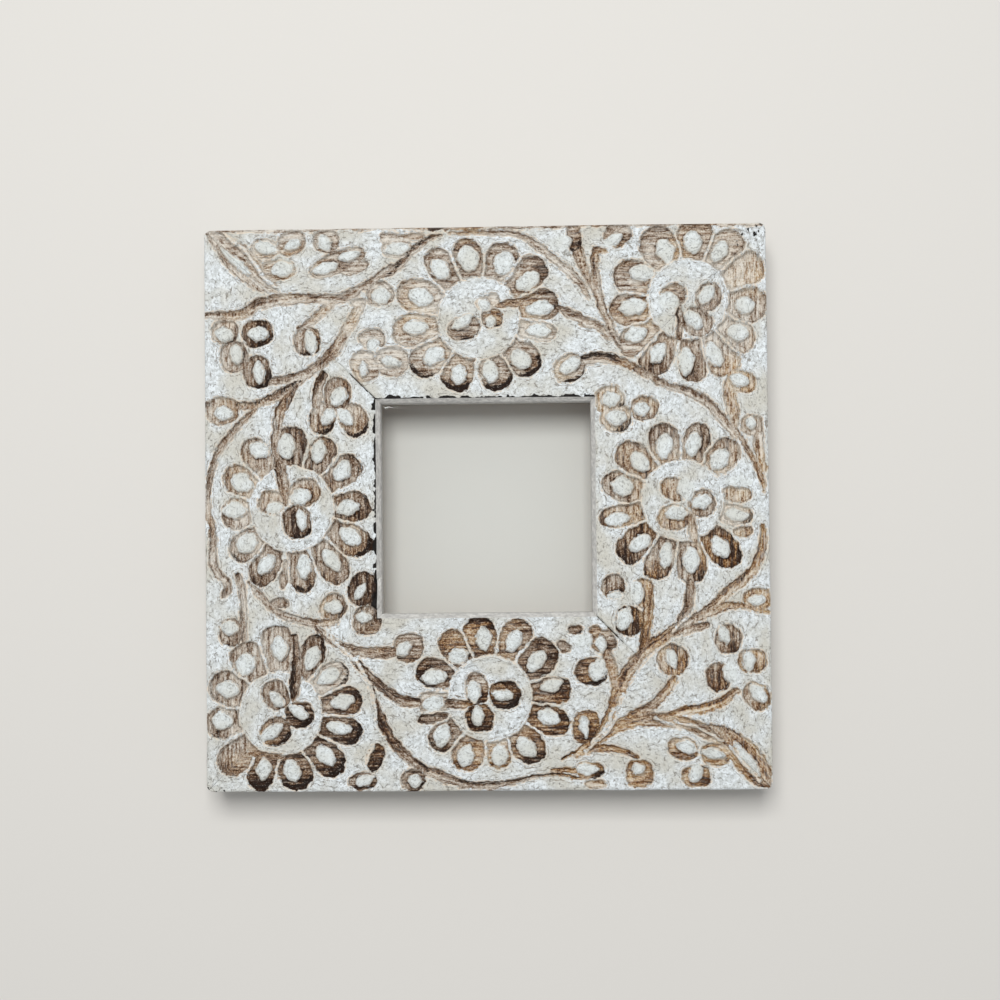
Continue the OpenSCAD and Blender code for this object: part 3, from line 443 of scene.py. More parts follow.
def stroke(x, y, points):
    """Distance outside a tapering stroke: distance to each straight piece less the half width there, least of all.

    Also gives how far along the stroke the nearest place on it is, and how far to its side the point lies.
    """
    best, along, across, run = np.full_like(x, 1e3), np.zeros_like(x), np.zeros_like(x), 0.0
    for (ax, ay, aw), (bx, by, bw) in zip(points[:-1], points[1:]):
        ex, ey = bx - ax, by - ay
        length = math.hypot(ex, ey)
        t = np.clip(((x - ax) * ex + (y - ay) * ey) / length ** 2, 0, 1)
        d = np.hypot(x - ax - t * ex, y - ay - t * ey) - (aw + t * (bw - aw))
        nearer = d < best
        best, along = np.where(nearer, d, best), np.where(nearer, run + t * length, along)
        across = np.where(nearer, ((x - ax) * ey - (y - ay) * ex) / length, across)
        run += length
    return best, along, across


def rounded(points, steps=4):
    """A Catmull-Rom curve through the points: 0.5 (2b + (c - a) t + (2a - 5b + 4c - d) t2 + (3b - a - 3c + d) t3)."""
    p = np.array(points, float)
    p = np.vstack([2 * p[0] - p[1], p, 2 * p[-1] - p[-2]])
    t = (np.arange(steps) / steps)[None, :, None]
    a, b, c, d = (p[i:len(p) - 3 + i, None, :] for i in range(4))
    curve = 0.5 * (2 * b + (c - a) * t + (2 * a - 5 * b + 4 * c - d) * t ** 2 + (3 * b - a - 3 * c + d) * t ** 3)
    return np.vstack([curve.reshape(-1, p.shape[1]), p[-2]]).tolist()


def mottle(x, y, size, seed):
    """Smooth value noise of -1 to 1: random values on a square lattice of the given size, blended by 3t2 - 2t3."""
    lattice = np.random.default_rng(seed).uniform(-1, 1, (256, 256))
    u, v = x / size + 100.5, y / size + 100.5
    i, j = np.floor(u).astype(int), np.floor(v).astype(int)
    tu, tv = u - i, v - j
    tu, tv = tu * tu * (3 - 2 * tu), tv * tv * (3 - 2 * tv)
    i, j = i % 255, j % 255
    low = lattice[i, j] * (1 - tu) + lattice[i + 1, j] * tu
    high = lattice[i, j + 1] * (1 - tu) + lattice[i + 1, j + 1] * tu
    return low * (1 - tv) + high * tv


def ease(value, start, end):
    """0 up to start, 1 from end, and 3t2 - 2t3 between them."""
    t = np.clip((value - start) / (end - start), 0, 1)
    return t * t * (3 - 2 * t)


def carve(x, y, grain_x):
    """The carving at points of the face, in mm: the change of height, and the fields the finish is painted by.

    cut is the distance into the painted wood (below 0 it is bare stained wood). stain_and_shade is how brown the
    nearest hollow is stained, with painted shade towards its low side and a painted shadow round the seeds' feet,
    scorch is how burnt it is, gold is how golden its brown is, wall_shade is 1 on the lower wall of a hollow, where
    a dark line of painted shade goes, and raised is 1 on the seeds, whose paint is cleanest. streaks is where the
    streaks of the brown are looked up: along the wood's grain, or along the stem that a gouge has followed.
    """
    hollow, seed, ridge = (np.full_like(x, FAR) for field in range(3))
    scorch, groove, lean = (np.zeros_like(x) for field in range(3))
    stain_and_shade, depth = np.full_like(x, MID_STAIN), np.full_like(x, HOLLOW_DEPTH)
    streaks = np.stack([x, y, 0 * x] if grain_x else [y, x, 0 * x], 1)
    wx, wy = x.copy(), y.copy()
    for number, (amount, size) in enumerate(WAVER):
        wx += amount * mottle(x, y, size, 11 + 2 * number)
        wy += amount * mottle(x, y, size, 12 + 2 * number)

    def near(px, py, reach):
        """The numbers of the points within a square of half side reach."""
        return np.nonzero((np.abs(wx - px) < reach) & (np.abs(wy - py) < reach))[0]

    def take(k, d, brown, burn, down, deep):
        """Gives points k to a hollow at distance d, where it is the nearest so far."""
        closer = d < hollow[k]
        kk = k[closer]
        for field, value in ((hollow, d), (stain_and_shade, brown), (scorch, burn), (lean, down), (depth, deep)):
            field[kk] = value[closer] if isinstance(value, np.ndarray) else value
        return closer

    def toward(k, row, lx, ly):
        """How far a point lies to one side of a hollow, -1 to 1."""
        return ((wx[k] - row[0]) * lx + (wy[k] - row[1]) * ly) / math.hypot(lx, ly) / max(row[2:4])

    def leave_seed(px, py, *shape):
        """Leaves a seed standing, unless its place is None."""
        if px is not N:
            k = near(px, py, shape[0] + MARGIN)
            seed[k] = np.minimum(seed[k], oval(wx[k], wy[k], px, py, *shape, SEED_POWER))

    def gouge(row):
        """Cuts one oval hollow and leaves its seed."""
        k = near(row[0], row[1], row[2] + MARGIN)
        take(k, oval(wx[k], wy[k], *row[:5]), row[10], row[11], toward(k, row, *LOW_SIDE), HOLLOW_DEPTH)
        leave_seed(*row[5:10])

    for (cx, cy, cr), petals, middle in FLOWERS:
        k = near(cx, cy, cr + PETAL_MARGIN)
        r = np.hypot(wx[k] - cx, wy[k] - cy)
        first, second = np.full(len(k), PETAL_FAR), np.full(len(k), PETAL_FAR)
        brown, burn, down = np.full(len(k), MID_STAIN), np.zeros(len(k)), np.zeros(len(k))
        for row in petals:
            px, py, a, b, turn = row[:5]
            away = math.hypot(px - cx, py - cy)
            ux, uy = (px - cx) / away, (py - cy) / away
            d = oval(wx[k], wy[k], px, py, a, b, turn)
            start = cr + 1
            if away > start and b > 2.5:    # a wide petal runs on to the disc by a tapering neck
                neck = [(cx + ux * start, cy + uy * start, min(3.1, 0.85 * b)), (px, py, 0.92 * b)]
                d = np.minimum(d, stroke(wx[k], wy[k], neck)[0])
            lead = d < first
            second = np.where(lead, first, np.minimum(second, d))
            down = np.where(lead, toward(k, row, PETAL_LOW_SIDE[0] + ux, PETAL_LOW_SIDE[1] + uy), down)
            burn, brown = np.where(lead, row[11], burn), np.where(lead, row[10], brown)
            first = np.where(lead, d, first)
            leave_seed(*row[5:10])
        pit = np.maximum(first - PETAL_GROWTH, cr + 0.35 - r)
        pit = np.maximum(pit, PETAL_WALL - (second - first) / 2)
        take(k, pit, brown, burn, down, HOLLOW_DEPTH)
        groove[k] = np.maximum(groove[k], np.exp(-((r - cr + GROOVE_IN) / 0.5) ** 2))
        for row in middle:
            gouge(row)
    for row in BUDS:
        gouge(row)
    for row in LONE_SEEDS:
        leave_seed(*row)
    for number, (brown, burn, points) in enumerate(STEMS):
        curve = rounded([(px, py, w * STEM_SPREAD) for px, py, w in points])
        xs, ys = [p[0] for p in curve], [p[1] for p in curve]
        k = np.nonzero((wx > min(xs) - STEM_MARGIN) & (wx < max(xs) + STEM_MARGIN)
                       & (wy > min(ys) - STEM_MARGIN) & (wy < max(ys) + STEM_MARGIN))[0]
        if len(k):
            d, along, across = stroke(wx[k], wy[k], curve)
            # how much nearer the stem is from a step up and to the left: most on its lower right side
            down = stroke(wx[k] - 0.5, wy[k] + 0.6, curve)[0] - d
            closer = take(k, d, brown, burn, down * 1.2, STEM_DEPTH)
            streaks[k[closer]] = np.stack([along + STREAKS_APART * number, across, 0 * d], 1)[closer]
    for points in LEAF_SEEDS:
        seed = np.minimum(seed, stroke(wx, wy, rounded(points))[0])
    for points in STEM_RIDGES:
        ridge = np.minimum(ridge, stroke(wx, wy, rounded(points))[0])

    # the floors, with the gouge's chatter along the grain, and the seeds that stand in them
    pit = np.maximum(hollow, -ridge)
    stretch_x, stretch_y = (0.35, 2.2) if grain_x else (2.2, 0.35)
    chatter = 0.12 * mottle(x * stretch_x, y * stretch_y, 1.0, 21)
    floor = -(depth + chatter) * ease(-pit, -0.15, WALL_RUN)
    dome = (1 - np.clip(-seed / SEED_RUN, 0, 1)) ** 2.4
    crown = -SEED_TOP - SEED_DOME * dome - 1.6 * np.maximum(seed, 0)
    height = np.where(seed < SEED_RUN, np.maximum(floor, crown), floor)
    # the face rolls over into the hollows, dips into the discs' grooves, and is nowhere quite flat
    height -= 0.18 * np.exp(-np.maximum(pit, 0) / 0.5) * (seed > 0) + GROOVE_DEPTH * groove * ease(pit, 0, 0.8)
    height += 0.15 * mottle(x, y, 6.0, 31) + 0.11 * mottle(x, y, 1.6, 32) - FACE_DROP

    # the brown darkens towards each hollow's low side as painted shade, more where it is scorched, and in blotches;
    # a painted shadow rings the foot of each seed; the brown is darker towards the bottom; and the scorch lies
    # towards the low side of each hollow, away from its walls
    cut = np.maximum(pit, -seed)
    blotch = 0.6 * mottle(x, y, 3.4, 61) + 0.4 * mottle(x, y, 1.5, 62)
    # a dark line of painted shade along the lower wall of each hollow, deeper where the stain is scorched
    wall_shade = (0.15 + 0.85 * ease(lean, -0.1, 0.7)) * (0.4 + 0.6 * scorch) * ease(pit, -1.0, -0.45)
    stain_and_shade = stain_and_shade + (0.1 + 0.2 * scorch) * (ease(lean, -0.3, 0.9) - 0.35) + 0.1 * blotch
    seed_foot_shadow = np.exp(-((seed - 0.3) / 0.3) ** 2)
    stain_and_shade = stain_and_shade + 0.2 * seed_foot_shadow * ease(blotch, -0.05, 0.4) + 0.05 * ease(-y, 30, 50)
    scorch = scorch * ease(lean + 0.3 * blotch, 0.1, 0.75) * ease(pit, -2.3, -1.1)
    lower_right = ease(x - y, 60, 110)
    gold = 0.14 + x / 320 - y / 1200 + 0.55 * lower_right + 0.8 * mottle(x, y, 9.0, 63)
    gold = np.clip(gold, 0, 1)
    return height, streaks, {"cut": cut, "stain_and_shade": stain_and_shade, "scorch": scorch, "wall_shade": wall_shade, "gold": gold,
                             "raised": ease(-seed, -0.1, 0.4)}


COLUMNS, FACE_ROWS, EDGE_ROWS, SIDE_ROWS = 500, 166, 5, 9
PAINTED_ROWS = 7                      # the inner wall's three rows above its arris, and the bevel's four
BEVEL_STEPS = (0.08, 0.35, 0.65, 0.92)
EDGE_ANGLES = np.radians(np.linspace(15, 90, EDGE_ROWS))
EDGE_WAVER = 0.12                     # mm, how far the outer and the opening's edge waver
MITRE_GAP = 0.0003                    # of the rail's length, so that the mitres' faces don't touch
OPEN_MITRE_REACH = (62, 55)           # mm from the middle: closed beyond the first, open within the second
SEAM_HALF, SEAM_DEPTH = 0.3, 0.5      # mm, of the dip along a mitre
PAINTED_CUT = 3.0                     # mm, the distance into the paint away from the carved face
STRIP_W = 0.9                         # mm, how wide the top edge was wiped bare
# the two corners with specks of wear: x and y in mm, how far it spreads in mm squared, and how strong it is
WORN_CORNERS = ((80, 81, 40, 1.0), (-81, -82, 45, 0.9))
# the wear round the opening: how strong it is, from how thick a patch of noise it starts, and its reach in mm
OPENING_WEAR = {"left": (2.2, 0.1, 0.95), "top": (1.9, 0.1, 0.8), "right": (0.45, 0.3, 1.0),
                "bottom": (0.7, 0.35, 0.8)}


def rail_grid(side_turn):
    """Points of one rail as (column, row): a closed section carried along the rail between its two mitres.

    Along the rail s runs from -1 to 1 and a point is (s d, d), with d its distance from the frame's centre line,
    so every column ends on a mitre. Each column's d stops at the worn square's edge: the straight side, or the
    corner's arc, ((1 + s) c + sqrt((1 + s)^2 c^2 - (1 + s^2)(2 c^2 - r^2))) / (1 + s^2).
    """
    s = np.linspace(-1, 1, COLUMNS) * (1 - MITRE_GAP)
    back = BACK_Z + FLUSH
    c, r = FRAME_HALF - CORNER_R, CORNER_R
    along = np.abs(s)
    arc = (1 + along) * c + np.sqrt(np.maximum((1 + along) ** 2 * c * c - (1 + s * s) * (2 * c * c - r * r), 0))
    reach = np.where(along * FRAME_HALF > c, arc / (1 + s * s), FRAME_HALF)
    reach = reach - EDGE_WAVER - EDGE_WAVER * mottle(s * FRAME_HALF, 0 * s + side_turn, 9.0, 41)
    sight = FACE_EDGE + 0.10 + EDGE_WAVER * mottle(s * FACE_EDGE, 0 * s + side_turn, 7.0, 42)

    t = np.linspace(0, 1, FACE_ROWS)
    face_d = sight[:, None] + (reach - EDGE_R - sight)[:, None] * t[None, :]
    face_z = np.full_like(face_d, TOP_Z)
    edge_d = reach[:, None] - EDGE_R + EDGE_R * np.sin(EDGE_ANGLES)[None, :]
    edge_z = np.broadcast_to(TOP_Z - EDGE_R + EDGE_R * np.cos(EDGE_ANGLES)[None, :], edge_d.shape)
    side_z = np.linspace(TOP_Z - EDGE_R, back + 0.5, SIDE_ROWS + 1)[1:]
    side_d = reach[:, None] + 0 * side_z[None, :]
    # then the back, the rebate, the ledge the glass lies against, the inner wall and the bevel up to the face:
    # (a, b, z) is a point at distance a; where a is None it is b inside the outer edge, and where b is None it is
    # the share a of the way from the rebate to that edge
    rest = [(N, 0.3, back + 0.15), (N, 0.5, back), (0.66, N, back), (0.33, N, back),
            (REBATE + 0.3, 0, back), (REBATE, 0, back + 0.3), (REBATE, 0, (back + LEDGE_Z) / 2),
            (REBATE, 0, LEDGE_Z - 0.1), (REBATE - 0.1, 0, LEDGE_Z), (SIGHT + 0.25, 0, LEDGE_Z),
            (SIGHT, 0, LEDGE_Z + 0.25), (SIGHT, 0, LEDGE_Z + 2.6), (SIGHT, 0, TOP_Z - BEVEL_H - 0.15)]
    rest_d = [reach - b if a is N else (REBATE + (reach - REBATE) * a if b is N else a + 0 * reach)
              for a, b, z in rest]
    rest_z = [z + 0 * reach for a, b, z in rest]
    for u in BEVEL_STEPS:
        rest_d.append(SIGHT + (sight - SIGHT) * u)
        rest_z.append(TOP_Z - BEVEL_H + BEVEL_H * u + 0 * reach)
    d = np.hstack([face_d, edge_d, side_d, np.array(rest_d).T])
    z = np.hstack([face_z, edge_z, np.broadcast_to(side_z, side_d.shape), np.array(rest_z).T])
    local_x, local_y = s[:, None] * d, d
    a = math.radians(side_turn)
    x = local_x * math.cos(a) - local_y * math.sin(a)
    y = local_x * math.sin(a) + local_y * math.cos(a)
    return s, x, y, z, local_x, local_y


def make_rail(side, side_turn, material):
    """The rail's closed mesh: the grid's quads, wrapped round the section, with a flat face on each mitre."""
    s, x, y, z, local_x, local_y = rail_grid(side_turn)
    columns, rows = x.shape
    top_rows = FACE_ROWS + EDGE_ROWS
    grain_x = side in ("top", "bottom")
    wx, wy = x[:, :top_rows], y[:, :top_rows]
    height, streaks, painted_by = carve(wx.ravel(), wy.ravel(), grain_x)
    height = height.reshape(columns, top_rows)
    # the mitre: an open crack where the glue has let go, at the opening's upper left and lower right
    gap = local_y[:, :top_rows] * (1 - np.abs(s))[:, None] / math.sqrt(2)
    open_mitre = np.clip(ease(-wx * wy, 0, 400) * ease(np.hypot(wx, wy), *OPEN_MITRE_REACH) + 0.25, 0, 1)
    seam = np.exp(-(gap / SEAM_HALF) ** 2) * open_mitre
    height = height - SEAM_DEPTH * seam
    fade = np.ones(top_rows)
    fade[FACE_ROWS:] = np.cos(EDGE_ANGLES)
    z = z.copy()
    z[:, :top_rows] += height * fade[None, :]
    # the bevel's upper rows follow the face by up to 0.9 mm, so a hollow that meets the opening's edge stays closed
    for back_row, share in enumerate(BEVEL_STEPS[:0:-1], 1):
        z[:, -back_row] += np.maximum(height[:, 0], -0.9) * share

    zone = np.zeros((columns, rows))                    # 0 carved face, 1 smooth painted bevel, 2 bare wood
    zone[:, top_rows + SIDE_ROWS:] = 2
    zone[:, -PAINTED_ROWS:] = 1
    fields = {"zone": zone}
    for name, values in painted_by.items():
        fields[name] = np.full((columns, rows), {"cut": PAINTED_CUT, "stain_and_shade": MID_STAIN}.get(name, 0.0))
        fields[name][:, :top_rows] = values.reshape(columns, top_rows)
    if side == "top":                                   # its outer edge was wiped bare, down to the stain
        strip = FRAME_HALF - wy - STRIP_W + STRIP_W * mottle(wx, 0 * wy, 5.0, 53)
        strip = strip + 0.3 * mottle(wx, wy, 1.2, 54)
        fields["cut"][:, :top_rows] = np.minimum(fields["cut"][:, :top_rows], strip)
    # wear: the paint is rubbed through to dark wood on the edges, most of all round the opening
    inner = local_y - FACE_EDGE
    outer = np.full((columns, rows), 5.0)
    outer[:, :top_rows] = FRAME_HALF - np.maximum(np.abs(wx), np.abs(wy))
    rub, bare_from, reach_in = OPENING_WEAR[side]
    ragged = 0.7 + 0.7 * mottle(local_x, local_y, 2.3, 55) + 0.5 * mottle(local_x, local_y, 0.8, 56)
    reach_in = reach_in * np.clip(ragged, 0.15, 2)
    patch = 0.5 + 0.35 * mottle(local_x, local_y * 0.6, 4.1, 51) + 0.25 * mottle(local_x, local_y, 1.1, 52)
    wear = rub * np.exp(-np.maximum(inner, 0) / reach_in) * ease(patch, bare_from, bare_from + 0.45) * (zone == 0)
    corner = sum(strength * np.exp(-((x - cx) ** 2 + (y - cy) ** 2) / spread)
                 for cx, cy, spread, strength in WORN_CORNERS)
    speckle = 0.5 + 0.5 * mottle(x, y, 0.8, 57) + 0.3 * mottle(x, y, 0.5, 58)
    wear += 1.2 * corner * ease(speckle, 0.6, 0.9)
    wear += 0.55 * np.exp(-np.maximum(outer, 0) / 0.5) * ease(patch, 0.35, 0.8)
    wear[:, :top_rows] += 0.8 * seam * (open_mitre > 0.5)
    fields["wear"] = np.clip(wear, 0, 1.5)

    verts = np.stack([x.ravel(), y.ravel(), z.ravel()], 1) * MM
    i = np.arange(columns - 1)[:, None]
    j = np.arange(rows)[None, :]
    k = (j + 1) % rows
    quads = np.stack([i * rows + j, i * rows + k, (i + 1) * rows + k, (i + 1) * rows + j], -1).reshape(-1, 4)
    first_mitre, last_mitre = list(range(rows)), list(range(columns * rows - 1, (columns - 1) * rows - 1, -1))
    faces = quads[:, ::-1].tolist() + [first_mitre, last_mitre]
    mesh = bpy.data.meshes.new(side + "_rail_carved")
    mesh.from_pydata(verts.tolist(), [], faces)
    mesh.validate()
    for name, values in fields.items():
        mesh.attributes.new(name, "FLOAT", "POINT").data.foreach_set("value", values.ravel().astype(np.float32))
    along, across = (x, y) if grain_x else (y, x)
    grain = np.stack([along, across, z], -1).astype(np.float32)
    gouged = grain.copy()
    gouged[:, :top_rows] = streaks.reshape(columns, top_rows, 3)
    for name, values in (("grain", grain), ("streaks", gouged)):
        mesh.attributes.new(name, "FLOAT_VECTOR", "POINT").data.foreach_set("vector", values.ravel())
    mesh.polygons.foreach_set("use_smooth", np.array([True] * len(quads) + [False] * 2))
    mesh.materials.append(material)
    mesh.update()
    rail = bpy.data.objects.new(side + "_rail_carved", mesh)
    bpy.context.collection.objects.link(rail)
    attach(rail, "frame")
    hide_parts(side + "_rail")


def whitewashed_mango_wood():
    """Mango wood, stained and then brushed with thin white paint: streaked brown in the hollows, chalky above.

    Its noise runs along the grain: streaks 12 mm long and 1.1 mm wide, pores 0.4 mm wide, grit of 0.4 mm, and
    cracks in the paint about 2.4 mm apart, which is as fine as a picture of the whole frame shows.
    """
    material, tree, out = new_material("whitewashed_mango_wood")
    grain, streaks = (add(tree, "Attribute", attribute_name=name).node.outputs["Vector"]
                      for name in ("grain", "streaks"))
    cut, stain_and_shade, scorch, wall_shade, gold, wear, zone, raised = (
        add(tree, "Attribute", attribute_name=name).node.outputs["Fac"]
        for name in ("cut", "stain_and_shade", "scorch", "wall_shade", "gold", "wear", "zone", "raised"))
    # a pattern's stretch is how many of its spots lie in a millimetre, along the grain and across it
    patterns = []
    for place, stretch, detail, rough in (
            (streaks, (0.08, 0.9, 0.9), 4, 0.6), (streaks, (0.30, 2.6, 2.6), 2, 0.6),
            (grain, (0.55, 1.1, 1.1), 5, 0.65), (grain, (0.9, 1.0, 1.0), 5, 0.68),
            (grain, (0.08, 0.1, 0.1), 2, 0.5), (grain, (0.25, 1.3, 1.3), 3, 0.6),
            (grain, (0.32, 0.42, 0.42), 2, 0.5), (grain, (2.2, 2.4, 2.4), 2, 0.6)):
        spot = add(tree, "Mapping", {"Vector": place, "Scale": stretch})
        patterns.append(add(tree, "TexNoise", {"Vector": spot, "Scale": 1.0, "Detail": detail, "Roughness": rough}))
    streak, pores, brush, stucco, broad, catch, wrinkle, grit = patterns

    # tone is the stain with its painted shade, varied by 2 streak + 1.1 brush + 1.4 grit + 0.6 broad; each is about
    # 0.5 on average, so half of their amounts comes off again
    tone = stain_and_shade
    for pattern, amount in ((streak, 2.0), (brush, 1.1), (grit, 1.4), (broad, 0.6)):
        tone = add(tree, "Math", {0: pattern, 1: amount, 2: tone}, operation="MULTIPLY_ADD")
    tone = add(tree, "Math", {0: tone, 1: 2.54}, operation="SUBTRACT")
    browns = []
    for shades in (("#DAD6CE", "#C6C0B5", "#B0A497", "#917E6B", "#72563E", "#48301E", "#28160A"),
                   ("#DED5C6", "#CDBC9F", "#B99C74", "#9F7746", "#784F2A", "#4E2D11", "#2A1506")):
        browns.append(add(tree, "ValToRGB", {0: tone}))
        ramp = browns[-1].node.color_ramp.elements
        while len(ramp) < len(shades):
            ramp.new(0.5)
        for stop, place, shade in zip(ramp, (0.0, 0.18, 0.35, 0.5, 0.65, 0.82, 1.0), shades):
            stop.position, stop.color = place, linear(shade)
    golden = add(tree, "Math", {0: catch, 1: 1.2, 2: gold}, operation="MULTIPLY_ADD")
    golden = add(tree, "Math", {0: golden, 1: 0.6}, operation="SUBTRACT", use_clamp=True)
    brown = add(tree, "Mix", {0: golden, 6: browns[0], 7: browns[1]}, data_type="RGBA")

    # masks: each is a smooth step of a field between two values, up to a most. The folds, creases and the contour
    # are how far a field is from one level, so they are 0 along the line where it crosses it
    burnt = add(tree, "Math", {0: catch, 1: 1.3, 2: scorch}, operation="MULTIPLY_ADD")
    dark_grain = add(tree, "Math", {0: streak, 1: 2.0, 2: stain_and_shade}, operation="MULTIPLY_ADD")
    folds, creases = (add(tree, "Math", {0: add(tree, "Math", {0: pattern, 1: 0.5}, operation="SUBTRACT")},
                          operation="ABSOLUTE") for pattern in (wrinkle, stucco))
    contour = add(tree, "Math", {0: brush, 1: 1.2, 2: cut}, operation="MULTIPLY_ADD")
    contour = add(tree, "Math", {0: contour, 1: 1.45}, operation="SUBTRACT")
    contour = add(tree, "Math", {0: contour}, operation="ABSOLUTE")
    masks = {}
    for name, source, start, end, most in (
            # on the stained wood
            ("pore", pores, 0.54, 0.66, 0.55), ("thin_stain", stain_and_shade, 0.8, 0.1, 0.8),
            ("dry_brush", catch, 0.45, 0.62, 1), ("burnt", burnt, 0.98, 1.22, 1),
            # the wall shade masks paint a broken dark line of shade along the lower walls of the hollows
            ("gash", dark_grain, 1.7, 1.9, 0.75), ("wall_shade", wall_shade, 0.35, 0.9, 0.9), ("wall_shade_gaps", brush, 0.36, 0.52, 1),
            ("dust", grit, 0.4, 0.3, 0.3), ("scratch", pores, 0.43, 0.34, 0.4), ("worn", wear, 0.35, 0.8, 1),
            # on the paint
            ("chalk", stucco, 0.28, 0.6, 1), ("dirt", broad, 0.38, 0.68, 0.8), ("edge", cut, 0.5, 0.25, 0.9),
            ("edge_gaps", brush, 0.6, 0.42, 1), ("fold", folds, 0.024, 0.006, 1),
            ("fold_gaps", brush, 0.47, 0.58, 0.8), ("crease", creases, 0.03, 0.008, 0.3),
            ("speck", grit, 0.57, 0.68, 0.6), ("contour", contour, 0.16, 0.06, 0.8),
            ("contour_gaps", catch, 0.46, 0.56, 1), ("raised", raised, 0, 1, 0.45),
            # on the bevel and the bare wood
            ("paint_grey", brush, 0.35, 0.65, 1), ("long_grain", streak, 0.3, 0.7, 1),
            ("bevel", zone, 0.45, 0.55, 1), ("bare", zone, 1.45, 1.55, 1)):
        masks[name] = add(tree, "MapRange", {"Value": source, "From Min": start, "From Max": end, "To Max": most},
                          interpolation_type="SMOOTHSTEP")
    for name, one, other in (("wash", "thin_stain", "dry_brush"), ("painted_wall_shade", "wall_shade", "wall_shade_gaps"),
                             ("cream_edge", "edge", "edge_gaps"), ("crackle", "fold", "fold_gaps"),
                             ("second_line", "contour", "contour_gaps")):
        masks[name] = add(tree, "Math", {0: masks[one], 1: masks[other]}, operation="MULTIPLY")

    # the paint stays on the high parts, ragged along the grain, and is rubbed through where it is worn
    ragged = add(tree, "Math", {0: cut, 1: 0.9}, operation="MINIMUM")
    for field, amount in ((brush, 1.5), (catch, 1.0), (wear, -1.3)):
        ragged = add(tree, "Math", {0: field, 1: amount, 2: ragged}, operation="MULTIPLY_ADD")
    painted = add(tree, "MapRange", {"Value": ragged, "From Min": 1.06, "From Max": 1.24},
                  interpolation_type="SMOOTHSTEP")

    # each layer of colour goes over the last by its mask
    layers = {
        # in the wood, the near-black brown #321C0C is painted shade: a broken line along the lower wall of each
        # hollow
        "wood": [brown, ("pore", "#432A18"), ("wash", "#DFD8CC"), ("scratch", "#DACFBF"), ("gash", "#2A170B"),
                 ("burnt", "#1E0F05"), ("painted_wall_shade", "#321C0C"), ("dust", "#D8CFC2"), ("worn", "#16120F")],
        "paint": [linear("#B6B9B6"), ("chalk", "#EBF1F3"), ("dirt", "#CBC7B9"), ("crease", "#A9A9A5"),
                  ("crackle", "#90887C"), ("second_line", "#8A7C6C"), ("cream_edge", "#E2D3BF"),
                  ("raised", "#DFE4E0"), ("speck", "#8F8C86")],
        "bevel": [linear("#B4B2AE"), ("paint_grey", "#DAD8D2")],
        "bare": [linear("#9A7446"), ("long_grain", "#C5A271"), ("pore", "#6E4F2E")],
    }
    coats = {}
    for name, (ground, *coverings) in layers.items():
        coats[name] = ground
        for mask, shade in coverings:
            coats[name] = add(tree, "Mix", {0: masks[mask], 6: coats[name], 7: linear(shade)}, data_type="RGBA")
    colour = coats["wood"]
    for share, coat in ((painted, "paint"), (masks["bevel"], "bevel"), (masks["bare"], "bare")):
        colour = add(tree, "Mix", {0: share, 6: colour, 7: coats[coat]}, data_type="RGBA")

    relief = add(tree, "Math", {0: stucco, 1: 1.2}, operation="MULTIPLY")
    for field, amount in ((painted, 0.35), (grit, 0.5), (masks["speck"], -0.4), (masks["crackle"], -0.8)):
        relief = add(tree, "Math", {0: field, 1: amount, 2: relief}, operation="MULTIPLY_ADD")
    bump = add(tree, "Bump", {"Strength": 0.8, "Distance": 0.0004, "Height": relief})
    shader = add(tree, "BsdfPrincipled",
                 {"Base Color": colour, "Normal": bump, "Roughness": 0.6, "Specular IOR Level": 0.25})
    tree.links.new(shader, out.inputs[0])
    return material


rail_finish = whitewashed_mango_wood()
for side, side_turn in SIDES:
    make_rail(side, side_turn, rail_finish)

# ---------------------------------------------------------------- the glass
# A pane of 2 mm float glass, bedded in the rebate against the ledge, with its edges ground. Nothing stands behind
# it, so the table shows through.
PANE_HALF, PANE_T, ARRIS = 38.0, 2.0, 0.25    # mm; the arris is the ground edge that keeps fingers safe


def closed_loops(name, x, y, z, capped=True):
    """A closed mesh from loops of points, as arrays of (loop, point): quads between neighbouring loops.

    With capped, the first and last loop are each closed by a flat face; without, the last joins the first.
    """
    loops, points = x.shape
    i = np.arange(loops - 1 if capped else loops)[:, None]
    j = np.arange(points)[None, :]
    k, m = (i + 1) % loops, (j + 1) % points
    quads = np.stack([i * points + j, i * points + m, k * points + m, k * points + j], -1).reshape(-1, 4).tolist()
    ends = [list(range(points))[::-1], [(loops - 1) * points + n for n in range(points)]] if capped else []
    mesh = bpy.data.meshes.new(name)
    mesh.from_pydata((np.stack([x, y, z], -1).reshape(-1, 3) * MM).tolist(), [], quads + ends)
    shell = bmesh.new()
    shell.from_mesh(mesh)
    bmesh.ops.recalc_face_normals(shell, faces=shell.faces)
    shell.to_mesh(mesh)
    shell.free()
    piece = bpy.data.objects.new(name, mesh)
    bpy.context.collection.objects.link(piece)
    return piece


def fit(piece, node, body, material):
    """Gives a finished piece its material and its body, and hides the CAD node it stands for."""
    piece.data.materials.append(material)
    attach(piece, body)
    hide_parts(node)


def join(pieces, name):
    """Joins alike pieces into one named object, as separate solids."""
    with bpy.context.temp_override(active_object=pieces[0], selected_editable_objects=pieces):
        bpy.ops.object.join()
    pieces[0].name = name
    return pieces[0]


def picture_glass():
    """Clear float glass: see-through with a faint cool tint, so it shows only where it catches the lamp."""
    material, tree, out = new_material("picture_glass")
    clear = add(tree, "BsdfTransparent", {"Color": linear("#FDFEFE")})
    gloss = add(tree, "BsdfGlossy", {"Color": linear("#FFFFFF"), "Roughness": 0.02})
    share = add(tree, "Fresnel", {"IOR": 1.5})
    share = add(tree, "Math", {0: share, 1: 0.6}, operation="MULTIPLY")
    tree.links.new(add(tree, "MixShader", {0: share, 1: clear, 2: gloss}), out.inputs[0])
    return material


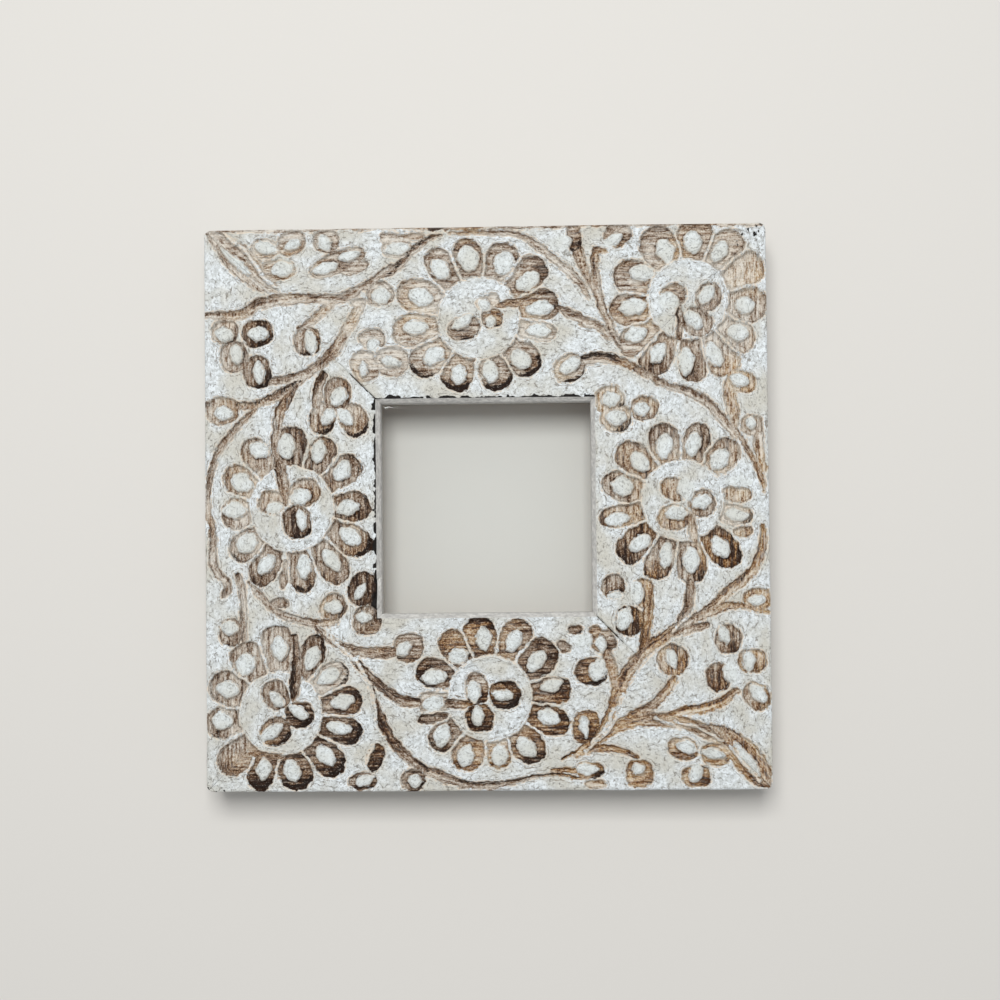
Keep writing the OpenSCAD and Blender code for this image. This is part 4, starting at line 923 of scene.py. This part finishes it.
corners = np.array([(-1, -1), (1, -1), (1, 1), (-1, 1)])
inset = np.array([ARRIS, 0, 0, ARRIS])[:, None]
height = np.array([0, ARRIS, PANE_T - ARRIS, PANE_T])[:, None] + LEDGE_Z - PANE_T
pane = closed_loops("glass_pane_clear", (PANE_HALF - inset) * corners[:, 0], (PANE_HALF - inset) * corners[:, 1],
                    height + 0 * corners[:, 0])
fit(pane, "glass_pane", "frame", picture_glass())

# ---------------------------------------------------------------- the turn buttons
# Four stamped steel buttons, brass plated. Each turns on its screw and swings over the rebate to hold the picture
# and the glass. They are shown turned aside, lying along the rails.
PIVOT_Y = 44.75                     # mm, from the middle of the frame
BUTTON_DISC_R, BUTTON_TIP_R, BUTTON_ARM, BUTTON_HOLE_R = 4.5, 3.5, 8.0, 1.57
BUTTON_Z, BUTTON_T, STAMPED_R = 2.04, 0.9, 0.22


def place(x, y, side_turn):
    """Points given about the top rail's pivot, moved out to it and turned with their rail."""
    a = math.radians(side_turn)
    y = y + PIVOT_Y
    return x * math.cos(a) - y * math.sin(a), x * math.sin(a) + y * math.cos(a)


def metal(name, colour, roughness, streaks, dull):
    """Plated or rolled steel: a clean metal, with 0.4 mm streaks from rolling and duller 2.5 mm spots of handling."""
    material, tree, out = new_material(name)
    spot = add(tree, "TexCoord").node.outputs["Object"]
    lines = add(tree, "TexNoise", {"Vector": add(tree, "Mapping", {"Vector": spot, "Scale": (300, 2500, 2500)}),
                                   "Scale": 1.0, "Detail": 3.0})
    cloud = add(tree, "TexNoise", {"Vector": spot, "Scale": 400.0, "Detail": 4.0})
    rough = add(tree, "MapRange", {"Value": lines, "From Min": 0.3, "From Max": 0.7, "To Min": roughness,
                                   "To Max": roughness + streaks})
    spots = add(tree, "MapRange", {"Value": cloud, "From Min": 0.5, "From Max": 0.75, "To Max": 0.6},
                interpolation_type="SMOOTHSTEP")
    shade = add(tree, "Mix", {0: spots, 6: linear(colour), 7: linear(dull)}, data_type="RGBA")
    tree.links.new(add(tree, "BsdfPrincipled", {"Base Color": shade, "Metallic": 1.0, "Roughness": rough}),
                   out.inputs[0])
    return material


# the stamped outline is the further of the disc and the round-ended arm, along each ray from the pivot:
# the arm's reach is a cos + sqrt(r^2 - a^2 sin^2) in front, and r / |sin| beside the arm
ray = np.linspace(0, 2 * np.pi, 144, endpoint=False)
tip = BUTTON_ARM * np.cos(ray) + np.sqrt(np.maximum(BUTTON_TIP_R ** 2 - (BUTTON_ARM * np.sin(ray)) ** 2, 0))
beside = BUTTON_TIP_R / np.maximum(np.abs(np.sin(ray)), 1e-3)
on_tip = (np.abs(BUTTON_ARM * np.sin(ray)) < BUTTON_TIP_R) & (np.cos(ray) > 0)
on_tip &= beside * np.cos(ray) > BUTTON_ARM
reach = np.where(on_tip, tip, np.where(np.cos(ray) > 0, beside, 0))
reach = np.maximum(reach, BUTTON_DISC_R)
ring_r = np.array([BUTTON_HOLE_R, BUTTON_HOLE_R, 0, 0, 0, 0, 0, 0])[:, None]
ring_in = np.array([0, 0, STAMPED_R, STAMPED_R * 0.3, 0, 0, STAMPED_R * 0.3, STAMPED_R])[:, None]
ring_z = np.array([0, BUTTON_T, BUTTON_T, BUTTON_T - 0.3 * STAMPED_R, BUTTON_T - STAMPED_R, STAMPED_R,
                   0.3 * STAMPED_R, 0])[:, None] + BUTTON_Z
ring = np.where(ring_r > 0, ring_r, reach[None, :] - ring_in)
brass = metal("brass_plated_steel", "#B9924A", 0.28, 0.14, "#8E6C34")
for side, side_turn in SIDES:
    x, y = place(ring * np.cos(ray), ring * np.sin(ray), side_turn)
    button = closed_loops("turn_button_" + side + "_stamped", x, y, ring_z + 0 * ring, capped=False)
    fit(button, "turn_button_" + side, "button_" + side, brass)

# ---------------------------------------------------------------- the button screws
# Four pan-head wood screws of bright steel, with a cross recess and a rolled thread. Each is driven into its rail
# only so far that its button still turns.
HEAD_R, HEAD_H, HEAD_TOP = 2.9, 1.4, 0.58       # mm; the head faces down, so its top is its lowest point
DOME_H, DOME_POWER = 0.62, 3.2
NECK_R, CORE_R, THREAD_Z, SCREW_TIP_Z, THREAD_PITCH = 1.5, 1.05, 4.5, 11.0, 1.3
RECESS_HALF, RECESS_REACH, RECESS_DEEP, RECESS_TURN = 0.34, 1.55, 0.7, 20    # mm, and degrees

turn = np.linspace(0, 2 * np.pi, 96, endpoint=False)[None, :]
# the head is a low dome, z = top + dome (r / R)^power, then its rim and flat underside
head_share = np.linspace(0.02, 1, 40)[:, None]
head_r = HEAD_R * head_share + 0 * turn
head_z = HEAD_TOP + DOME_H * head_share ** DOME_POWER + 0 * turn
u = np.abs(head_r * np.cos(turn - math.radians(RECESS_TURN)))
v = np.abs(head_r * np.sin(turn - math.radians(RECESS_TURN)))
cross = np.minimum(np.maximum(u - RECESS_REACH, v - RECESS_HALF), np.maximum(v - RECESS_REACH, u - RECESS_HALF))
head_z = head_z + RECESS_DEEP * ease(-cross, -0.06, 0.1) * (1 - 0.35 * head_share)
rim_r = np.array([HEAD_R, HEAD_R, HEAD_R - 0.1, NECK_R, NECK_R])[:, None] + 0 * turn
rim_z = np.array([HEAD_TOP + 0.75, HEAD_TOP + HEAD_H - 0.08, HEAD_TOP + HEAD_H, HEAD_TOP + HEAD_H,
                  THREAD_Z - 0.1])[:, None] + 0 * turn
# the thread is a ridge that climbs one pitch a turn, and fades out into the point
down = np.linspace(0, 1, 90)[:, None]
thread_z = THREAD_Z + (SCREW_TIP_Z - THREAD_Z) * down + 0 * turn
phase = (thread_z / THREAD_PITCH - turn / (2 * np.pi)) % 1
taper = np.minimum(1, (1 - down) / 0.28 + 0.06)
thread_r = taper * (CORE_R + (NECK_R - CORE_R - 0.02) * np.clip(1 - np.abs(phase - 0.5) / 0.22, 0, 1))
steel = metal("bright_steel", "#9A9B9C", 0.25, 0.12, "#6E6C69")
radius = np.vstack([head_r, rim_r, thread_r])
level = np.vstack([head_z, rim_z, thread_z])
for side, side_turn in SIDES:
    x, y = place(radius * np.cos(turn), radius * np.sin(turn), side_turn)
    screw = closed_loops("button_screw_" + side + "_threaded", x, y, level)
    fit(screw, "button_screw_" + side, "frame", steel)

# ---------------------------------------------------------------- the hanger
# A sawtooth hanger of thin zinc-plated steel. Its feet lie on the back of the top rail, and its bridge stands off
# the wood so that a wall nail's head fits behind it, and one of its teeth rests on the nail.
HANGER_HALF, HANGER_W, HANGER_T, HANGER_RISE, HANGER_Y = 22.0, 9.0, 0.8, 1.3, 72.0
FOOT, RAMP, TOOTH_PITCH, TOOTH_DEPTH, TEETH = 8.0, 2.0, 2.6, 1.7, 8
STRIP_R = 0.16                      # mm, how round the strip's edges are

# points along the strip, closer together at its ends, whose corners are blunted
along = np.sort(np.concatenate([np.linspace(-HANGER_HALF, HANGER_HALF, 421),
                                [-HANGER_HALF + 0.04, -HANGER_HALF + 0.12, HANGER_HALF - 0.12, HANGER_HALF - 0.04]]))
blunt = 0.5 * ease(np.abs(along), HANGER_HALF - 1.2, HANGER_HALF)[None, :]
lift = HANGER_RISE * ease(HANGER_HALF - FOOT - np.abs(along), 0, RAMP)[None, :]
tooth = np.clip(1 - np.abs((along / TOOTH_PITCH) % 1 - 0.5) / 0.42, 0, 1) * (np.abs(along) < TEETH * TOOTH_PITCH / 2)
low_y = (HANGER_Y - HANGER_W / 2 + TOOTH_DEPTH * tooth)[None, :] + blunt
high_y = HANGER_Y + HANGER_W / 2 - blunt
section_y = np.vstack([low_y + STRIP_R, low_y, low_y, low_y + STRIP_R,
                       high_y - STRIP_R, high_y, high_y, high_y - STRIP_R])
half_section = [0, STRIP_R, HANGER_T - STRIP_R, HANGER_T]
section_z = BACK_Z - HANGER_T - lift + np.array(half_section + half_section[::-1])[:, None]
hanger = closed_loops("sawtooth_hanger_pressed", np.broadcast_to(along[:, None], (len(along), 8)), section_y.T,
                      section_z.T)
zinc = metal("zinc_plated_steel", "#A9ADB1", 0.34, 0.16, "#7F858B")
fit(hanger, "sawtooth_hanger", "frame", zinc)

# ---------------------------------------------------------------- the hanger's nails
# Two round-headed pins of drawn steel, driven through the hanger's feet into the top rail. Their outline runs from
# the head's top to the point.
nail_r = np.array([0.15, 0.9, 1.55, 1.9, 1.95, 1.95, 0.75, 0.75, 0.75, 0.12])[:, None]
nail_z = np.array([1.525, 1.56, 1.7, 1.92, 2.05, 2.2, 2.2, 6, 10.4, 12.0])[:, None]
nail_turn = np.linspace(0, 2 * np.pi, 48, endpoint=False)[None, :]
pins = []
for x in (-1, 1):
    pins.append(closed_loops("hanger_pin", nail_r * np.cos(nail_turn) + x * (HANGER_HALF - FOOT / 2),
                             nail_r * np.sin(nail_turn) + HANGER_Y, nail_z + 0 * nail_turn))
fit(join(pins, "hanger_nails_domed"), "hanger_nails", "frame",
    metal("drawn_nail_steel", "#8B8C8E", 0.38, 0.15, "#5E5D5B"))

# ---------------------------------------------------------------- the felt bumpers
# Four punched discs of brown wool felt, glued at the corners of the back, so that the frame neither slides nor
# scratches.
BUMPER_R, BUMPER_H, BUMPER_PLACE = 5.0, 3.0, 76.0    # mm
FELT_RUN = 0.35                     # mm, how softly the punched edge rounds


def wool_felt():
    """Pressed wool felt: matt, with a nap of fibres 0.4 mm apart that lie every way, in tufts of 1.4 mm."""
    material, tree, out = new_material("pressed_wool_felt")
    spot = add(tree, "TexCoord").node.outputs["Object"]
    fibre = add(tree, "TexNoise", {"Vector": spot, "Scale": 2600.0, "Detail": 5.0, "Roughness": 0.75})
    cloud = add(tree, "TexNoise", {"Vector": spot, "Scale": 700.0, "Detail": 3.0})
    share = add(tree, "MapRange", {"Value": fibre, "From Min": 0.35, "From Max": 0.65})
    shade = add(tree, "Mix", {0: share, 6: linear("#3F2A1E"), 7: linear("#7A5A44")}, data_type="RGBA")
    shade = add(tree, "Mix", {0: add(tree, "Math", {0: cloud, 1: 0.4}, operation="MULTIPLY"), 6: shade,
                              7: linear("#553C2C")}, data_type="RGBA")
    bump = add(tree, "Bump", {"Strength": 0.9, "Distance": 0.0003, "Height": fibre})
    tree.links.new(add(tree, "BsdfPrincipled", {"Base Color": shade, "Roughness": 0.95, "Sheen Weight": 0.3,
                                                "Specular IOR Level": 0.15, "Normal": bump}), out.inputs[0])
    return material


# the edge is a quarter round of the run at the bottom, and the outline wavers by up to 0.15 mm
bend = np.radians(np.array([0, 25, 50, 75, 90]))
drop_r = np.concatenate([[-4.5, -2.5, -1.2], -FELT_RUN + FELT_RUN * np.sin(bend), [-0.02, 0, -0.1]])
drop_z = np.concatenate([[0, 0, 0], FELT_RUN - FELT_RUN * np.cos(bend), [1.2, 2.4, BUMPER_H]])
felt_turn = np.linspace(0, 2 * np.pi, 96, endpoint=False)[None, :]
bumpers = []
for number, (sx, sy) in enumerate(((1, 1), (-1, 1), (-1, -1), (1, -1))):
    waver = 0.07 * (mottle(5 * np.cos(felt_turn), 5 * np.sin(felt_turn), 0.9, 61 + number) - 1)
    r = BUMPER_R + drop_r[:, None] + waver * (drop_r > -2)[:, None]
    bumpers.append(closed_loops("felt_disc", r * np.cos(felt_turn) + sx * BUMPER_PLACE,
                                r * np.sin(felt_turn) + sy * BUMPER_PLACE, drop_z[:, None] + 0 * felt_turn))
fit(join(bumpers, "felt_bumpers_punched"), "felt_bumpers", "frame", wool_felt())

# ---------------------------------------------------------------- the V-nails
# Pairs of folded strips of cold-rolled steel, pressed into the back across each mitre to hold it shut. Only their
# edges show.
strip = metal("cold_rolled_strip", "#8F9194", 0.36, 0.15, "#66676A")
for corner in ("top_left", "top_right", "bottom_left", "bottom_right"):
    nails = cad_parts["vnails_" + corner]
    nails.data.materials.clear()
    nails.data.materials.append(strip)
